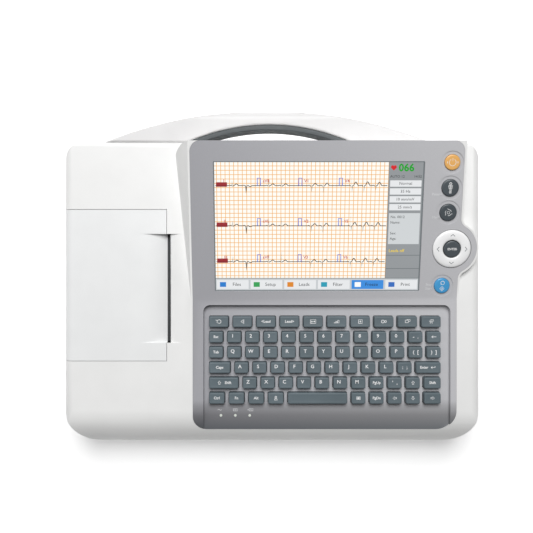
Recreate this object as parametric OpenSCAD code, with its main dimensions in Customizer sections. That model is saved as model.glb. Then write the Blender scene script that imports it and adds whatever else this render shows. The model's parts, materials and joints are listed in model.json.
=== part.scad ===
// Portable ECG recorder: case with a raised display, keyboard, thermal printer and carrying handle.
// X runs to the right, Y to the back (the handle side), Z up. The origin is the centre of the
// footprint on the table. Millimetres.

/* [Case] */
// Width of the case
body_w = 436.5; // [426:0.5:524]
// Depth of the case without the handle
body_d = 321.3; // [312:0.1:386]
// Height of the flat deck above the table
deck_h = 68; // [66:1:84]
// Rise of the screen section at its back edge, above the deck
screen_rise = 32; // [24:1:40]
// Thickness of the case walls
wall = 2.8; // [2.4:0.1:3.2]
// Height of the joint between the lower and the upper case
parting_h = 30; // [28:1:34]
// Corner radius at the back, seen from above
back_corner_r = 22; // [14:1:30]
// Corner radius at the front, seen from above
front_corner_r = 45; // [30:1:50]
// Radius of the rounded front edge
front_roll_r = 40; // [30:1:42]
// Height of the rubber feet
foot_h = 3; // [2:0.5:5]

/* [Handle] */
// Reach of the handle behind the case
handle_reach = 33.4; // [30:0.2:45]
// Width of the handle arch
handle_span = 344; // [320:1:360]
// Height of the handle bar
handle_bar_h = 26; // [20:1:30]
// Width of the soft grip
grip_span = 174; // [150:1:200]

/* [Fascia] */
// Distance from the left side of the case to the fascia
fascia_left_margin = 135.25; // [132:0.05:142]
// Distance from the right side of the case to the fascia
fascia_right_margin = 25.75; // [22:0.05:32]
// Distance from the front of the case to the fascia
fascia_front_margin = 19.2; // [16:0.1:22]
// Thickness of the fascia
fascia_t = 2.4; // [2:0.1:3]
// Depth of the keyboard tray below the deck
tray_drop = 6; // [4:0.5:7]

/* [Display] */
// Width of the visible screen
display_w = 213; // [190:1:220]
// Height of the visible screen
display_h = 134; // [110:1:136]

/* [Keyboard] */
// Distance between two key rows
row_pitch = 16; // [15:0.1:16]
// Depth of a key cap
key_d = 11.8; // [10:0.1:12.4]
// Gap between two keys in a row
key_gap = 4.1; // [3:0.1:5]
// Travel of a key
key_travel = 1.8; // [1.2:0.1:2]

/* [Controls] */
// Diameter of the patient and mode buttons
menu_button_d = 17.2; // [14:0.2:19]
// Diameter of the power button
power_button_d = 15.6; // [12:0.2:18]
// Diameter of the start and stop button
start_button_d = 16; // [12:0.2:18]
// Outer diameter of the navigation ring
nav_ring_d = 39.4; // [36:0.2:42]
// Diameter of the enter button in the navigation ring
enter_button_d = 17; // [14:0.2:18]
// Travel of a round button
button_travel = 1; // [0.6:0.1:1.2]

/* [Printer] */
// Width of the paper
paper_w = 112; // [100:1:112]
// Diameter of a full paper roll
roll_d = 46; // [30:1:48]
// Length of the lid, from front to back
lid_len = 158; // [158:1:164]
// Width of the lid, from the left side of the case to the paper slot
lid_reach = 107.65; // [106.8:0.05:110.8]
// Diameter of the platen roller
platen_d = 14; // [12:0.5:15]
// Drop of the lid's surface where it rolls off into the paper slot
roll_drop = 8; // [4:0.5:8]

/* [Hidden] */
$fn = 96;

// Running clearance of a shaft in its bore, and the gaps that parts keep from each other.
shaft_play = 0.05;
seam = 0.5;
seat_gap = 0.3;
fit_gap = 0.15;
key_play = 0.4;
cut = 1;

adhesive_t = 0.1;
shelf_depth = fascia_t + adhesive_t + wall;

// Case edges.
left_x = -body_w / 2;
right_x = body_w / 2;
back_y = (body_d - handle_reach) / 2;
front_y = back_y - body_d;
base_z = foot_h;
floor_z = base_z + wall;
side_top_r = 10;
side_bottom_r = 12;
front_bottom_r = 20;
back_edge_r = 6;

// Fascia and the keyboard tray in it.
fascia_left = left_x + fascia_left_margin;
fascia_right = right_x - fascia_right_margin;
fascia_front = front_y + fascia_front_margin;
fascia_back_r = 11;
fascia_front_left_r = 14;
fascia_front_right_r = 20;
tray_side_margin = 11;
tray_right_margin = 6.2;
tray_left = fascia_left + tray_side_margin;
tray_right = fascia_right - tray_right_margin;
tray_corner_r = 7;
tray_floor = deck_h - tray_drop;
key_rows = 6;
front_row_margin = 33.5;
tray_back_margin = 17.6;
screen_strip = 6;
front_row_y = fascia_front + front_row_margin;
back_row_y = front_row_y + (key_rows - 1) * row_pitch;
tray_back = back_row_y + tray_back_margin;
crease_y = tray_back + screen_strip;

// Keys: each row is a list of key widths in key pitches, from left to right.
key_left = tray_left + 5.8;
key_right = tray_right - 10;
row_units = 13;
key_pitch = (key_right - key_left + key_gap) / row_units;
function_row = [for (i = [1 : 10]) row_units / 10];
plain_row = [for (i = [1 : 13]) 1];
home_row = concat(1.4, [for (i = [1 : 10]) 1], 1.6);
shift_row = concat(1.85, [for (i = [1 : 10]) 1], 1.15);
space_row = concat([for (i = [1 : 4]) 1.085], 3.51, [for (i = [1 : 4]) 1], 1.15);
key_rise = 1.6;
key_r = 1.6;
key_flange = 1;
key_flange_t = 1;
keymat_t = 2;
board_t = 1.6;

// Screen section: its top leans back from the crease.
wedge_back = back_y - 5;
screen_tilt = atan2(screen_rise, wedge_back - crease_y);
screen_len = (wedge_back - crease_y) / cos(screen_tilt);
wedge_side_run = 17;
wedge_margin = 2;
wedge_side_slope = wedge_side_run / (screen_rise * cos(screen_tilt));
wedge_right_slope = 0.2;

// Display and round controls, measured on the tilted top from the crease.
display_left_margin = 23.2;
display_front_margin = 8.6;
display_left = fascia_left + display_left_margin;
display_mid = display_left + display_w / 2;
glass_margin = 4;
glass_t = 1.8;
lcd_t = 6;
column_margin = 14;
nav_margin = 7.8;
column_x = fascia_right - column_margin;
column_lean = 4;

nav_x = fascia_right - nav_margin;
start_v = 14.6;
nav_v = 53.4;
nav_y = crease_y + nav_v * cos(screen_tilt);
mode_v = 91;
patient_v = 116;
power_v = 141.5;
bulge_r = nav_ring_d / 2 + 6;
bulge_blend_r = 10;

// Round buttons: cap, flange that keeps it in the fascia, and dish around it.
button_rise = button_travel;
button_play = 0.35;
button_flange = 1.3;
button_flange_t = 1;
button_depth = fascia_t + seat_gap + button_flange_t;
dish_margin = 3.6;
dish_depth = 0.6;

// Navigation ring on its gimbal, inside a cup under the fascia.
nav_hole_r = enter_button_d / 2 + 0.8;
nav_play = 0.5;
nav_rise = 1.4;
nav_skin = 3;
nav_cup_wall = 1.6;
nav_cup_r = nav_ring_d / 2 + nav_play + nav_cup_wall;
nav_pin_r = 1;
nav_pin_depth = 4.8;
nav_lug_t = 2;
nav_lug_r = 15.2;
nav_lug_w = 4;
nav_cup_depth = 9.4;
nav_floor_t = 1.4;
gimbal_out_r = 14;
gimbal_in_r = 11;
gimbal_t = 2;
enter_stem_r = 5;

// Printer lid and what turns in it. The lid turns about a pin at its lower left edge.
lid_front_margin = 92;
lid_front = front_y + lid_front_margin;
lid_back = lid_front + lid_len;
lid_mid = (lid_front + lid_back) / 2;
lid_edge = left_x + lid_reach;
hinge_barrel_r = 6.5;
hinge_x = left_x + hinge_barrel_r;
hinge_z = parting_h - 6;
hinge_pin_r = 2;
paper_offset = -3.3;
paper_mid = lid_mid + paper_offset;
slot_w = 3.8;
slot_len = paper_w + 2;
slot_left = lid_edge + seam;
lid_roll_w = 30;
case_roll_w = 14;
case_roll_drop = 3.2;

// Printer mechanism.
platen_shaft_r = 2;
platen_len = paper_w + 1;
platen_x = slot_left - 0.6 - platen_d / 2;
platen_z = deck_h - 16;
head_x = platen_x + platen_d / 2 + seat_gap;
head_t = 6;
head_top = deck_h - 10;
head_bottom = deck_h - 26;
frame_t = 2;
cheek_t = 2;
gear_module = 0.8;
gear_w = 5;
gear_backlash = 0.1;
platen_teeth = 16;
idler_teeth = 24;
pinion_teeth = 12;
platen_gear_r = platen_teeth * gear_module / 2;
idler_gear_r = idler_teeth * gear_module / 2;
pinion_gear_r = pinion_teeth * gear_module / 2;
release_angle = atan2(platen_z - hinge_z, platen_x - hinge_x) - 90;
idler_x = platen_x + (platen_gear_r + idler_gear_r + gear_backlash) * cos(release_angle);
idler_z = platen_z + (platen_gear_r + idler_gear_r + gear_backlash) * sin(release_angle);
idler_phase = release_angle + 180 + 180 / idler_teeth;
pinion_angle = -45;
motor_x = idler_x + (idler_gear_r + pinion_gear_r + gear_backlash) * cos(pinion_angle);
motor_z = idler_z + (idler_gear_r + pinion_gear_r + gear_backlash) * sin(pinion_angle);
motor_shaft_r = 1.5;
motor_r = 11;
motor_len = 18;
mech_front = paper_mid - platen_len / 2;
mech_back = paper_mid + platen_len / 2;
side_plate_y = mech_back + 6;
gear_y = side_plate_y + frame_t + 1.5;

// Paper compartment.
bin_wall = 2;
bin_left = left_x + 2 * hinge_barrel_r + 3;
bin_right = platen_x - platen_d / 2 - 1.5;
bin_half = paper_w / 2 + 1.5;
bin_floor = floor_z + bin_wall;
roll_x = bin_left + bin_wall + 2.5 + roll_d / 2;
roll_z = bin_floor + 2 + roll_d / 2;
roll_core_r = 6;

// Handle arch and its grip: circular arcs that start on the rear wall.
handle_mid = -5;
grip_mid = -3;
grip_bow = 18.7;
grip_inner_bow = 13.2;
grip_taper = 14.5;
handle_top = deck_h - 3;
grip_inset = 2;
hollow_depth = 24;
hollow_left = grip_mid - 76;
hollow_right = grip_mid + 76;
hollow_bottom = base_z + 7;
hollow_top = deck_h - 8;

// Sockets in the side walls, and the boards behind them.
port_z = parting_h + 4;
inlet_y = lid_back + 29;
inlet_w = 28;
inlet_h = 20;
socket_recess = 3;
patient_y = back_y - 70;
patient_w = 39;
patient_h = 13;
lan_y = patient_y - 44;
lan_w = 16;
lan_h = 14;
usb_y = lan_y - 20;
usb_w = 14.5;
usb_h = 7;
stud_y = back_y - 35;
stud_r = 3;
stud_pocket_r = 8;
stud_pocket_depth = 9;
main_board_z = port_z - patient_h / 2 - 1.5;
keypad_z = tray_floor - fascia_t - seat_gap - key_flange_t - key_travel - seat_gap - keymat_t;
led_r = 1.4;
led_pitch = 15.15;
led_first_x = key_left + 12.2;
led_y = front_row_y - 19;

// Battery, loudspeaker, feet and screws.
battery_w = 150;
battery_d = 72;
battery_t = 22;
battery_x = fascia_left + 70;
battery_y = front_y + 51.3;
speaker_r = 20;
speaker_h = 14;
speaker_x = fascia_left + 40;
speaker_y = front_y + 79.3;
foot_r = 9;
foot_inset_x = 40;
foot_inset_front = 60;
foot_inset_back = 30;
screw_head_r = 3.2;
screw_shank_r = 1.5;
screw_head_h = 2.4;
screw_counterbore = 6;
screw_boss_r = 4.5;
screw_bite = 12;
screw_places = [
    [left_x + 26, front_y + 57.3], [right_x - 16, front_y + 59.3],
    [left_x + 22, back_y - 20], [right_x - 20, back_y - 16],
    [fascia_left - 8, front_y + 51.3], [fascia_left - 8, back_y - 20]
];

// Sum of the first n entries of a list.
function sum_to(v, n) = n <= 0 ? 0 : v[n - 1] + sum_to(v, n - 1);

// Rectangle from (x0, y0) to (x1, y1); r lists the corner radii: low left, low right, high right,
// high left.
module round_rect(x0, y0, x1, y1, r) {
    union() {
        polygon([
            [x0 + r[0], y0], [x1 - r[1], y0], [x1, y0 + r[1]], [x1, y1 - r[2]],
            [x1 - r[2], y1], [x0 + r[3], y1], [x0, y1 - r[3]], [x0, y0 + r[0]]
        ]);
        translate([x0 + r[0], y0 + r[0]]) circle(r[0]);
        translate([x1 - r[1], y0 + r[1]]) circle(r[1]);
        translate([x1 - r[2], y1 - r[2]]) circle(r[2]);
        translate([x0 + r[3], y1 - r[3]]) circle(r[3]);
    }
}

// Extrudes an outline drawn in X and Z from y0 to y1.
module along_y(y0, y1) {
    translate([0, y1, 0]) rotate([90, 0, 0]) linear_extrude(y1 - y0) children();
}

// Extrudes an outline drawn in Y and Z from x0 to x1.
module along_x(x0, x1) {
    translate([x0, 0, 0]) rotate([90, 0, 90]) linear_extrude(x1 - x0) children();
}

// Box between two corners.
module span(a, b) {
    translate(a) cube(b - a);
}

// Cylinder along Y through (x, z) from y0 to y1.
module rod_y(x, z, r, y0, y1) {
    translate([x, y1, z]) rotate([90, 0, 0]) cylinder(r = r, h = y1 - y0);
}

// Moves parts drawn on a flat sheet (u to the right, v up the slope) onto the tilted top.
module on_slope() {
    translate([0, crease_y, deck_h]) rotate([screen_tilt, 0, 0]) children();
}

// Case body shrunk by an inset on every side.
module case_form(inset) {
    intersection() {
        linear_extrude(deck_h + cut)
            round_rect(left_x + inset, front_y + inset, right_x - inset, back_y - inset,
                [front_corner_r - inset, front_corner_r - inset, back_corner_r - inset,
                back_corner_r - inset]);
        along_x(left_x, right_x)
            round_rect(front_y + inset, base_z + inset, back_y - inset, deck_h - inset,
                [front_bottom_r - inset, back_edge_r - inset, back_edge_r - inset,
                front_roll_r - inset]);
        along_y(front_y, back_y)
            round_rect(left_x + inset, base_z + inset, right_x - inset, deck_h - inset,
                [side_bottom_r - inset, side_bottom_r - inset, side_top_r - inset,
                side_top_r - inset]);
    }
}

// Bulge of the fascia round the navigation ring, blended into its straight right edge.
module nav_bulge(grow) {
    edge = nav_x + nav_margin + grow;
    ring = bulge_r + grow;
    blend = bulge_blend_r - grow;
    run = nav_margin + bulge_blend_r;
    rise = sqrt((ring + blend) * (ring + blend) - run * run);
    reach = ring / (ring + blend);
    translate([nav_x, nav_y]) circle(ring);
    difference() {
        polygon([
            [nav_x, nav_y - rise], [edge, nav_y - rise],
            [nav_x + run * reach, nav_y - rise * reach],
            [nav_x + run * reach, nav_y + rise * reach],
            [edge, nav_y + rise], [nav_x, nav_y + rise]
        ]);
        translate([edge + blend, nav_y - rise]) circle(blend);
        translate([edge + blend, nav_y + rise]) circle(blend);
    }
}

// Raised screen section, shrunk by an inset; its side walls lean out towards the deck.
module screen_form(inset) {
    low = -screen_rise * 1.4;
    top = 5;
    left = fascia_left - wedge_margin + inset;
    right = fascia_right + wedge_margin - inset;
    intersection() {
        union() {
            on_slope() along_y(-screen_rise, screen_len + screen_rise)
                polygon([
                    [left + top * wedge_side_slope, top], [left + low * wedge_side_slope, low],
                    [right - low * wedge_right_slope, low], [right - top * wedge_right_slope, top]
                ]);
            linear_extrude(2 * deck_h) nav_bulge(wedge_margin - inset);
        }
        on_slope() span([left_x, -2 * screen_rise, 2 * low], [right_x, screen_len + screen_rise, -inset]);
        linear_extrude(2 * deck_h)
            round_rect(left - wedge_side_run, crease_y - screen_rise,
                nav_x + bulge_r + wedge_margin - inset, wedge_back - inset,
                [1, 1, fascia_back_r + 2 - inset, fascia_back_r + 3 - inset]);
    }
}

// Outer shape of the whole case, shrunk by an inset.
module shell_form(inset) {
    union() {
        case_form(inset);
        intersection() {
            screen_form(inset);
            span([left_x, front_y, deck_h - tray_drop - wall - fascia_t - inset],
                [right_x, back_y, deck_h + screen_rise + cut]);
        }
    }
}

// Outline of the fascia, seen from above.
module fascia_outline(grow) {
    round_rect(fascia_left - grow, fascia_front - grow, fascia_right + grow, wedge_back + grow,
        [fascia_front_left_r + grow, fascia_front_right_r + grow, fascia_back_r, fascia_back_r]);
    nav_bulge(grow);
}

// Everything within the outline of the fascia, above and below the surface.
module fascia_column(grow) {
    translate([0, 0, deck_h - front_roll_r / 2]) linear_extrude(deck_h) fascia_outline(grow);
}

// Everything below the top surface, at a depth below it.
module below_surface(depth) {
    case_form(depth);
    on_slope() span([left_x, -2 * screen_rise, -front_roll_r - depth],
        [right_x, screen_len + screen_rise, -depth]);
}

// Sheet that follows the top of the case, from one depth to another.
module top_sheet(grow, top, bottom) {
    intersection() {
        difference() {
            below_surface(top);
            below_surface(bottom);
        }
        fascia_column(grow);
    }
}

// Outline of the keyboard tray; its front runs out of the rounded case edge.
module tray_outline(grow) {
    round_rect(tray_left - grow, front_y - cut, tray_right + grow, tray_back + grow,
        [1, 1, tray_corner_r + grow, tray_corner_r + grow]);
}

// Where key number i of a row starts, and its width.
function snap(v) = round(v * 100) / 100;
function key_start(row, i) = snap(key_left + sum_to(row, i) * key_pitch);
function key_width(row, i) = snap(row[i] * key_pitch - key_gap);
function row_y(n) = back_row_y - n * row_pitch;

// Outline of one key.
module key_outline(row, n, i, grow) {
    x = key_start(row, i);
    y = row_y(n);
    r = key_r + max(grow, 0);
    round_rect(x - grow, y - key_d / 2 - grow, x + key_width(row, i) + grow,
        y + key_d / 2 + grow, [r, r, r, r]);
}

// One key: the cap stands in the tray and a flange below the tray floor keeps it in.
module key(row, n, i) {
    flange_top = tray_floor - fascia_t - seat_gap;
    cap_top = deck_h + key_rise - key_travel / 2;
    translate([0, 0, flange_top - key_flange_t])
        linear_extrude(cap_top - flange_top + key_flange_t) key_outline(row, n, i, 0);
    translate([0, 0, flange_top - key_flange_t])
        linear_extrude(key_flange_t) key_outline(row, n, i, key_flange);
}

// Outlines of all key openings.
module key_openings() {
    rows = [function_row, plain_row, plain_row, home_row, shift_row, space_row];
    for (n = [0 : key_rows - 1]) {
        for (i = [0 : len(rows[n]) - 1]) {
            key_outline(rows[n], n, i, key_play);
        }
    }
}

// Roll-off beside the paper slot: the deck curves down over a width until it has dropped at its
// edge. side is -1 for the lid's side of the slot and 1 for the case's side.
module roll_off_rod(side, edge, width, drop, inset, y_grow) {
    r = (width * width + drop * drop) / (2 * drop);
    rod_y(edge + side * width, deck_h - r, r - inset, paper_mid - slot_len / 2 - y_grow,
        paper_mid + slot_len / 2 + y_grow);
}

// Block over the roll-off, from where it starts to a little past its edge.
module roll_off_block(side, edge, width, bottom, y_grow, past) {
    far = edge + side * width;
    near = edge - side * past;
    span([min(far, near), paper_mid - slot_len / 2 - y_grow, bottom],
        [max(far, near), paper_mid + slot_len / 2 + y_grow, deck_h + cut]);
}

// What the roll-off takes away from the deck.
module roll_off_cut(side, edge, width, drop) {
    difference() {
        roll_off_block(side, edge, width, deck_h - drop - wall, 0, cut);
        roll_off_rod(side, edge, width, drop, 0, cut);
    }
}

// Skin under the roll-off, with a wall at each end.
module roll_off_skin(side, edge, width, drop) {
    intersection() {
        case_form(0);
        difference() {
            roll_off_block(side, edge, width, deck_h - drop - 2 * wall, wall, 0);
            roll_off_rod(side, edge, width, drop, wall, wall + cut);
        }
    }
}

// Opening for the printer lid and its hinge barrel, with room outside the barrel for the lid's
// lower edge as it swings down.
module lid_opening(gap) {
    rod_y(hinge_x, hinge_z, hinge_barrel_r + gap, lid_front - gap, lid_back + gap);
    span([left_x - cut, lid_front - gap, hinge_z], [lid_edge + gap, lid_back + gap, deck_h + cut]);
    span([left_x - cut, lid_front - gap, hinge_z - hinge_barrel_r - gap],
        [hinge_x, lid_back + gap, hinge_z + cut]);
}

// Hollow in the rear wall behind the handle, for the fingers.
module rear_hollow(grow) {
    r = 8 + grow;
    along_y(back_y - hollow_depth - grow, back_y + cut)
        round_rect(hollow_left - grow, hollow_bottom - grow, hollow_right + grow,
            hollow_top + grow, [r, r, r, r]);
}

// Openings in the side walls for the sockets and the earth stud.
module port_openings(gap) {
    y_side = [inlet_y - inlet_w / 2 - gap, inlet_y + inlet_w / 2 + gap];
    span([left_x - cut, y_side[0], port_z - inlet_h / 2 - gap],
        [left_x + wall + cut, y_side[1], port_z + inlet_h / 2 + gap]);
    for (port = [[patient_y, patient_w, patient_h], [lan_y, lan_w, lan_h], [usb_y, usb_w, usb_h]]) {
        span([right_x - wall - cut, port[0] - port[1] / 2 - gap, port_z - port[2] / 2 - gap],
            [right_x + cut, port[0] + port[1] / 2 + gap, port_z + port[2] / 2 + gap]);
    }
    translate([right_x - stud_pocket_depth, stud_y, port_z]) rotate([0, 90, 0])
        cylinder(r = stud_pocket_r, h = stud_pocket_depth + cut);
}

// Wall round the earth stud's pocket.
module stud_pocket_wall() {
    translate([right_x - stud_pocket_depth - wall, stud_y, port_z]) rotate([0, 90, 0])
        cylinder(r = stud_pocket_r + wall, h = stud_pocket_depth);
}

// Screws pass through the lower posts and bite into the upper posts.
module screw_posts(bottom, top, bore_r) {
    for (place = screw_places) {
        translate([place[0], place[1], bottom]) difference() {
            cylinder(r = screw_boss_r, h = top - bottom);
            translate([0, 0, -cut]) cylinder(r = bore_r, h = top - bottom + 2 * cut);
        }
    }
}

module board_posts() {
    for (x = [tray_left + 12, tray_right - 12], y = [row_y(5) - 8, row_y(0) + 12]) {
        translate([x, y, floor_z - 1]) cylinder(r = 3.5, h = keypad_z - board_t - floor_z + 1);
    }
    for (x = [fascia_left + 24, fascia_right + 2], y = [crease_y + 12, back_y - 56]) {
        translate([x, y, floor_z - 1]) cylinder(r = 3.5, h = main_board_z - board_t - floor_z + 1);
    }
}

module lower_case() {
    color("#e9e9ea") board_posts();
    color("#e9e9ea") difference() {
        union() {
            difference() {
                case_form(0);
                case_form(wall);
            }
            intersection() {
                case_form(0);
                union() {
                    rear_hollow(wall);
                    stud_pocket_wall();
                    for (y = [lid_front - seam - 7, lid_back + seam])
                        span([left_x, y, base_z], [left_x + 2 * hinge_barrel_r, y + 7, parting_h]);
                }
            }
            for (place = screw_places) {
                translate([place[0], place[1], base_z + 0.5])
                    cylinder(r = screw_boss_r + 1, h = parting_h - base_z - 0.5);
            }
            battery_bay(1.6);
        }
        translate([left_x - cut, front_y - cut, parting_h])
            cube([body_w + 2 * cut, body_d + 2 * cut, deck_h]);
        rear_hollow(0);
        lid_opening(seam);
        port_openings(0.3);
        rod_y(hinge_x, hinge_z, hinge_pin_r + shaft_play, lid_front - seam - 6, lid_back + seam + 6);
        for (place = screw_places) {
            translate([place[0], place[1], 0]) {
                cylinder(r = screw_head_r + 0.3, h = base_z + screw_counterbore);
                cylinder(r = screw_shank_r + shaft_play, h = parting_h + cut);
            }
        }
        span([battery_x, battery_y, 0], [battery_x + battery_w, battery_y + battery_d, floor_z + cut]);
        for (i = [-3 : 3]) {
            translate([speaker_x - 14, speaker_y + i * 4.4 - 1, 0]) cube([28, 2, floor_z + cut]);
        }
    }
}

// Low wall round the battery, standing on the floor of the lower case.
module battery_bay(t) {
    difference() {
        span([battery_x - t, battery_y - t, base_z + 1],
            [battery_x + battery_w + t, battery_y + battery_d + t, base_z + battery_t * 0.8]);
        span([battery_x, battery_y, 0], [battery_x + battery_w, battery_y + battery_d, deck_h]);
    }
}

module upper_case() {
    color("#f2f2f2") difference() {
        union() {
            difference() {
                union() {
                    difference() {
                        shell_form(0);
                        shell_form(wall);
                    }
                    intersection() {
                        shell_form(1);
                        screw_posts(parting_h, deck_h + screen_rise, screw_shank_r + shaft_play);
                    }
                }
                difference() {
                    fascia_column(fit_gap);
                    below_surface(fascia_t + adhesive_t);
                }
            }
            intersection() {
                top_sheet(3, fascia_t + adhesive_t, shelf_depth);
                shell_form(1);
            }
            intersection() {
                case_form(0);
                union() {
                    rear_hollow(wall);
                    stud_pocket_wall();
                }
            }
            roll_off_skin(1, slot_left + slot_w, case_roll_w, case_roll_drop);
        }
        translate([left_x - cut, front_y - cut, -cut])
            cube([body_w + 2 * cut, body_d + 2 * cut, parting_h + cut]);
        for (place = screw_places) {
            translate([place[0], place[1], 0])
                cylinder(r = screw_shank_r + shaft_play, h = parting_h + screw_bite + 1);
        }
        rear_hollow(0);
        lid_opening(seam);
        port_openings(0.3);
        span([slot_left - cut, paper_mid - slot_len / 2, head_top],
            [slot_left + slot_w, paper_mid + slot_len / 2, deck_h + cut]);
        roll_off_cut(1, slot_left + slot_w, case_roll_w, case_roll_drop);
        tray_hole();
        on_slope() translate([0, 0, -fascia_t - 3 * wall]) linear_extrude(4 * wall) {
            display_outline(glass_margin + seat_gap);
            translate([nav_x, nav_v]) circle(nav_cup_r + seat_gap);
            translate([column_at(start_v), start_v]) circle(start_button_d / 2 + button_flange + 0.5);
            translate([column_at(mode_v), mode_v]) circle(menu_button_d / 2 + button_flange + 0.5);
            translate([column_at(patient_v), patient_v]) circle(menu_button_d / 2 + button_flange + 0.5);
            translate([column_at(power_v), power_v]) circle(power_button_d / 2 + button_flange + 0.5);
        }
    }
}

// Hole in the upper case that the keyboard tray hangs through.
module tray_hole() {
    drop = tray_floor - fascia_t - deck_h + front_roll_r;
    roll = front_roll_r - fascia_t;
    hole_front = front_y + front_roll_r - sqrt(roll * roll - drop * drop) - 0.5;
    translate([0, 0, parting_h + cut]) linear_extrude(deck_h) intersection() {
        tray_outline(fascia_t + seat_gap);
        fascia_outline(fit_gap);
        translate([left_x, hole_front]) square([body_w, crease_y - hole_front]);
    }
}

// Visible part of the display, measured up the slope.
module display_outline(grow) {
    r = 1 + grow;
    round_rect(display_left - grow, display_front_margin - grow, display_left + display_w + grow,
        display_front_margin + display_h + grow, [r, r, r, r]);
}

module fascia() {
    color("#b9b9bc") difference() {
        union() {
            difference() {
                union() {
                    top_sheet(0, 0, fascia_t);
                    intersection() {
                        case_form(0);
                        fascia_column(0);
                        translate([0, 0, tray_floor - fascia_t])
                            linear_extrude(tray_drop + fascia_t) tray_outline(fascia_t);
                    }
                }
                translate([0, 0, tray_floor]) linear_extrude(tray_drop + cut) tray_outline(0);
            }
            on_slope() translate([nav_x, nav_v, -nav_cup_depth])
                cylinder(r = nav_cup_r, h = nav_cup_depth - fascia_t / 2);
        }
        translate([0, 0, tray_floor - fascia_t - cut]) linear_extrude(fascia_t + 2 * cut) {
            key_openings();
            for (i = [0 : 2]) {
                translate([led_first_x + i * led_pitch, led_y]) circle(led_r + fit_gap);
            }
        }
        on_slope() translate([0, 0, -fascia_t - cut]) linear_extrude(fascia_t + 2 * cut)
            display_outline(0);
        button_hole(power_v, power_button_d);
        button_hole(patient_v, menu_button_d);
        button_hole(mode_v, menu_button_d);
        button_hole(start_v, start_button_d);
        on_slope() translate([nav_x, nav_v, 0]) {
            translate([0, 0, nav_floor_t - nav_cup_depth])
                cylinder(r = nav_ring_d / 2 + nav_play, h = nav_cup_depth);
            translate([0, 0, -nav_cup_depth - cut])
                cylinder(r = enter_stem_r + button_play, h = nav_cup_depth);
        }
    }
    color("#b9b9bc") on_slope() translate([nav_x, nav_v, 0]) {
        for (side = [-1, 1]) {
            nav_lug(side * nav_lug_r, nav_floor_t - nav_cup_depth - 0.5, 2 - nav_pin_depth);
        }
    }
}

// Bracket across V with a bore for a gimbal pin that lies along V.
module nav_lug(v, low, high) {
    difference() {
        translate([-nav_lug_w / 2, v - nav_lug_t / 2, low]) cube([nav_lug_w, nav_lug_t, high - low]);
        translate([0, v - nav_lug_t, -nav_pin_depth]) rotate([-90, 0, 0])
            cylinder(r = nav_pin_r + shaft_play, h = 2 * nav_lug_t);
    }
}

// Hole and shallow dish in the fascia for a round button.
module button_hole(v, d) {
    on_slope() translate([column_at(v), v, 0]) {
        translate([0, 0, -fascia_t - cut]) cylinder(r = d / 2 + button_play, h = fascia_t + 2 * cut);
        translate([0, 0, -dish_depth]) cylinder(r = d / 2 + dish_margin, h = dish_depth + cut);
    }
}

// Middle of a round button: the column leans outwards up the slope.
function column_at(v) = column_x + column_lean * ((v - start_v) / (power_v - start_v) - 0.5);

// Round button with a flange below the fascia.
module round_button(v, d) {
    on_slope() translate([column_at(v), v, -button_depth]) {
        cylinder(r = d / 2, h = button_depth + button_rise);
        cylinder(r = d / 2 + button_flange, h = button_flange_t);
    }
}

// Radius of an arc from its chord and its bow.
function bow_r(chord, bow) = (chord * chord / 4 + bow * bow) / (2 * bow);

// Disc segment behind the rear wall: an arch with a given width and reach.
module arch(mid, chord, bow) {
    r = bow_r(chord, bow);
    intersection() {
        translate([mid, back_y + bow - r]) circle(r, $fn = 360);
        translate([mid - chord / 2, back_y]) square([chord, bow + cut]);
    }
}

module handle() {
    color("#f2f2f2") difference() {
        translate([0, 0, handle_top - handle_bar_h]) intersection() {
            linear_extrude(handle_bar_h) difference() {
                arch(handle_mid, handle_span, handle_reach);
                arch(grip_mid, grip_span, grip_bow);
            }
            along_x(left_x, right_x)
                round_rect(back_y - 10, 0, back_y + handle_reach, handle_bar_h, [1, 9, 9, 1]);
        }
    }
}

module handle_grip() {
    color("#5f6667") translate([0, 0, handle_top - handle_bar_h + grip_inset])
        linear_extrude(handle_bar_h - 2 * grip_inset) difference() {
            arch(grip_mid, grip_span, grip_bow);
            arch(grip_mid, grip_span - 2 * grip_taper, grip_inner_bow);
        }
}

module touch_glass() {
    color("#3b4a52") on_slope() translate([0, 0, -fascia_t - glass_t])
        linear_extrude(glass_t) display_outline(glass_margin);
}

module lcd_module() {
    color("#8a8f93") on_slope() translate([0, 0, -fascia_t - glass_t - lcd_t]) {
        linear_extrude(lcd_t) display_outline(glass_margin - 1);
        translate([display_mid - 40, display_front_margin + display_h / 2 - 25, -3])
            cube([80, 50, 3 + 0.01]);
    }
}

module main_board() {
    board_right = right_x - 6;
    board_back = stud_y - stud_pocket_r - wall - 2;
    color("#2f6b45") {
        span([fascia_left + 16, crease_y + 6, main_board_z - board_t],
            [board_right, board_back, main_board_z]);
        for (chip = [[20, 20, 24], [70, 46, 18], [120, 24, 14], [170, 60, 12]]) {
            translate([fascia_left + 24 + chip[0], crease_y + 12 + chip[1], main_board_z])
                cube([chip[2], chip[2], 2]);
        }
    }
}

// Strips of mat or board under the round buttons: one at the start button, one at the upper three.
module button_strips(top, t) {
    for (v = [[start_v - 12.5, start_v + 12.5], [mode_v - 12.5, power_v + 12]]) {
        on_slope() span([column_x - 13, v[0], top - t], [column_x + 12, v[1], top]);
    }
}

module keypad_board() {
    color("#2f6b45") {
        span([tray_left + 3, led_y - 4, keypad_z - board_t],
            [tray_right - 3, row_y(0) + key_d, keypad_z]);
        button_strips(-shelf_depth - keymat_t, board_t);
    }
}

module keymat() {
    color("#d9d4c8") {
        span([tray_left + 4, row_y(5) - key_d, keypad_z],
            [tray_right - 4, row_y(0) + key_d, keypad_z + keymat_t]);
        button_strips(-shelf_depth, keymat_t);
    }
}

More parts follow.
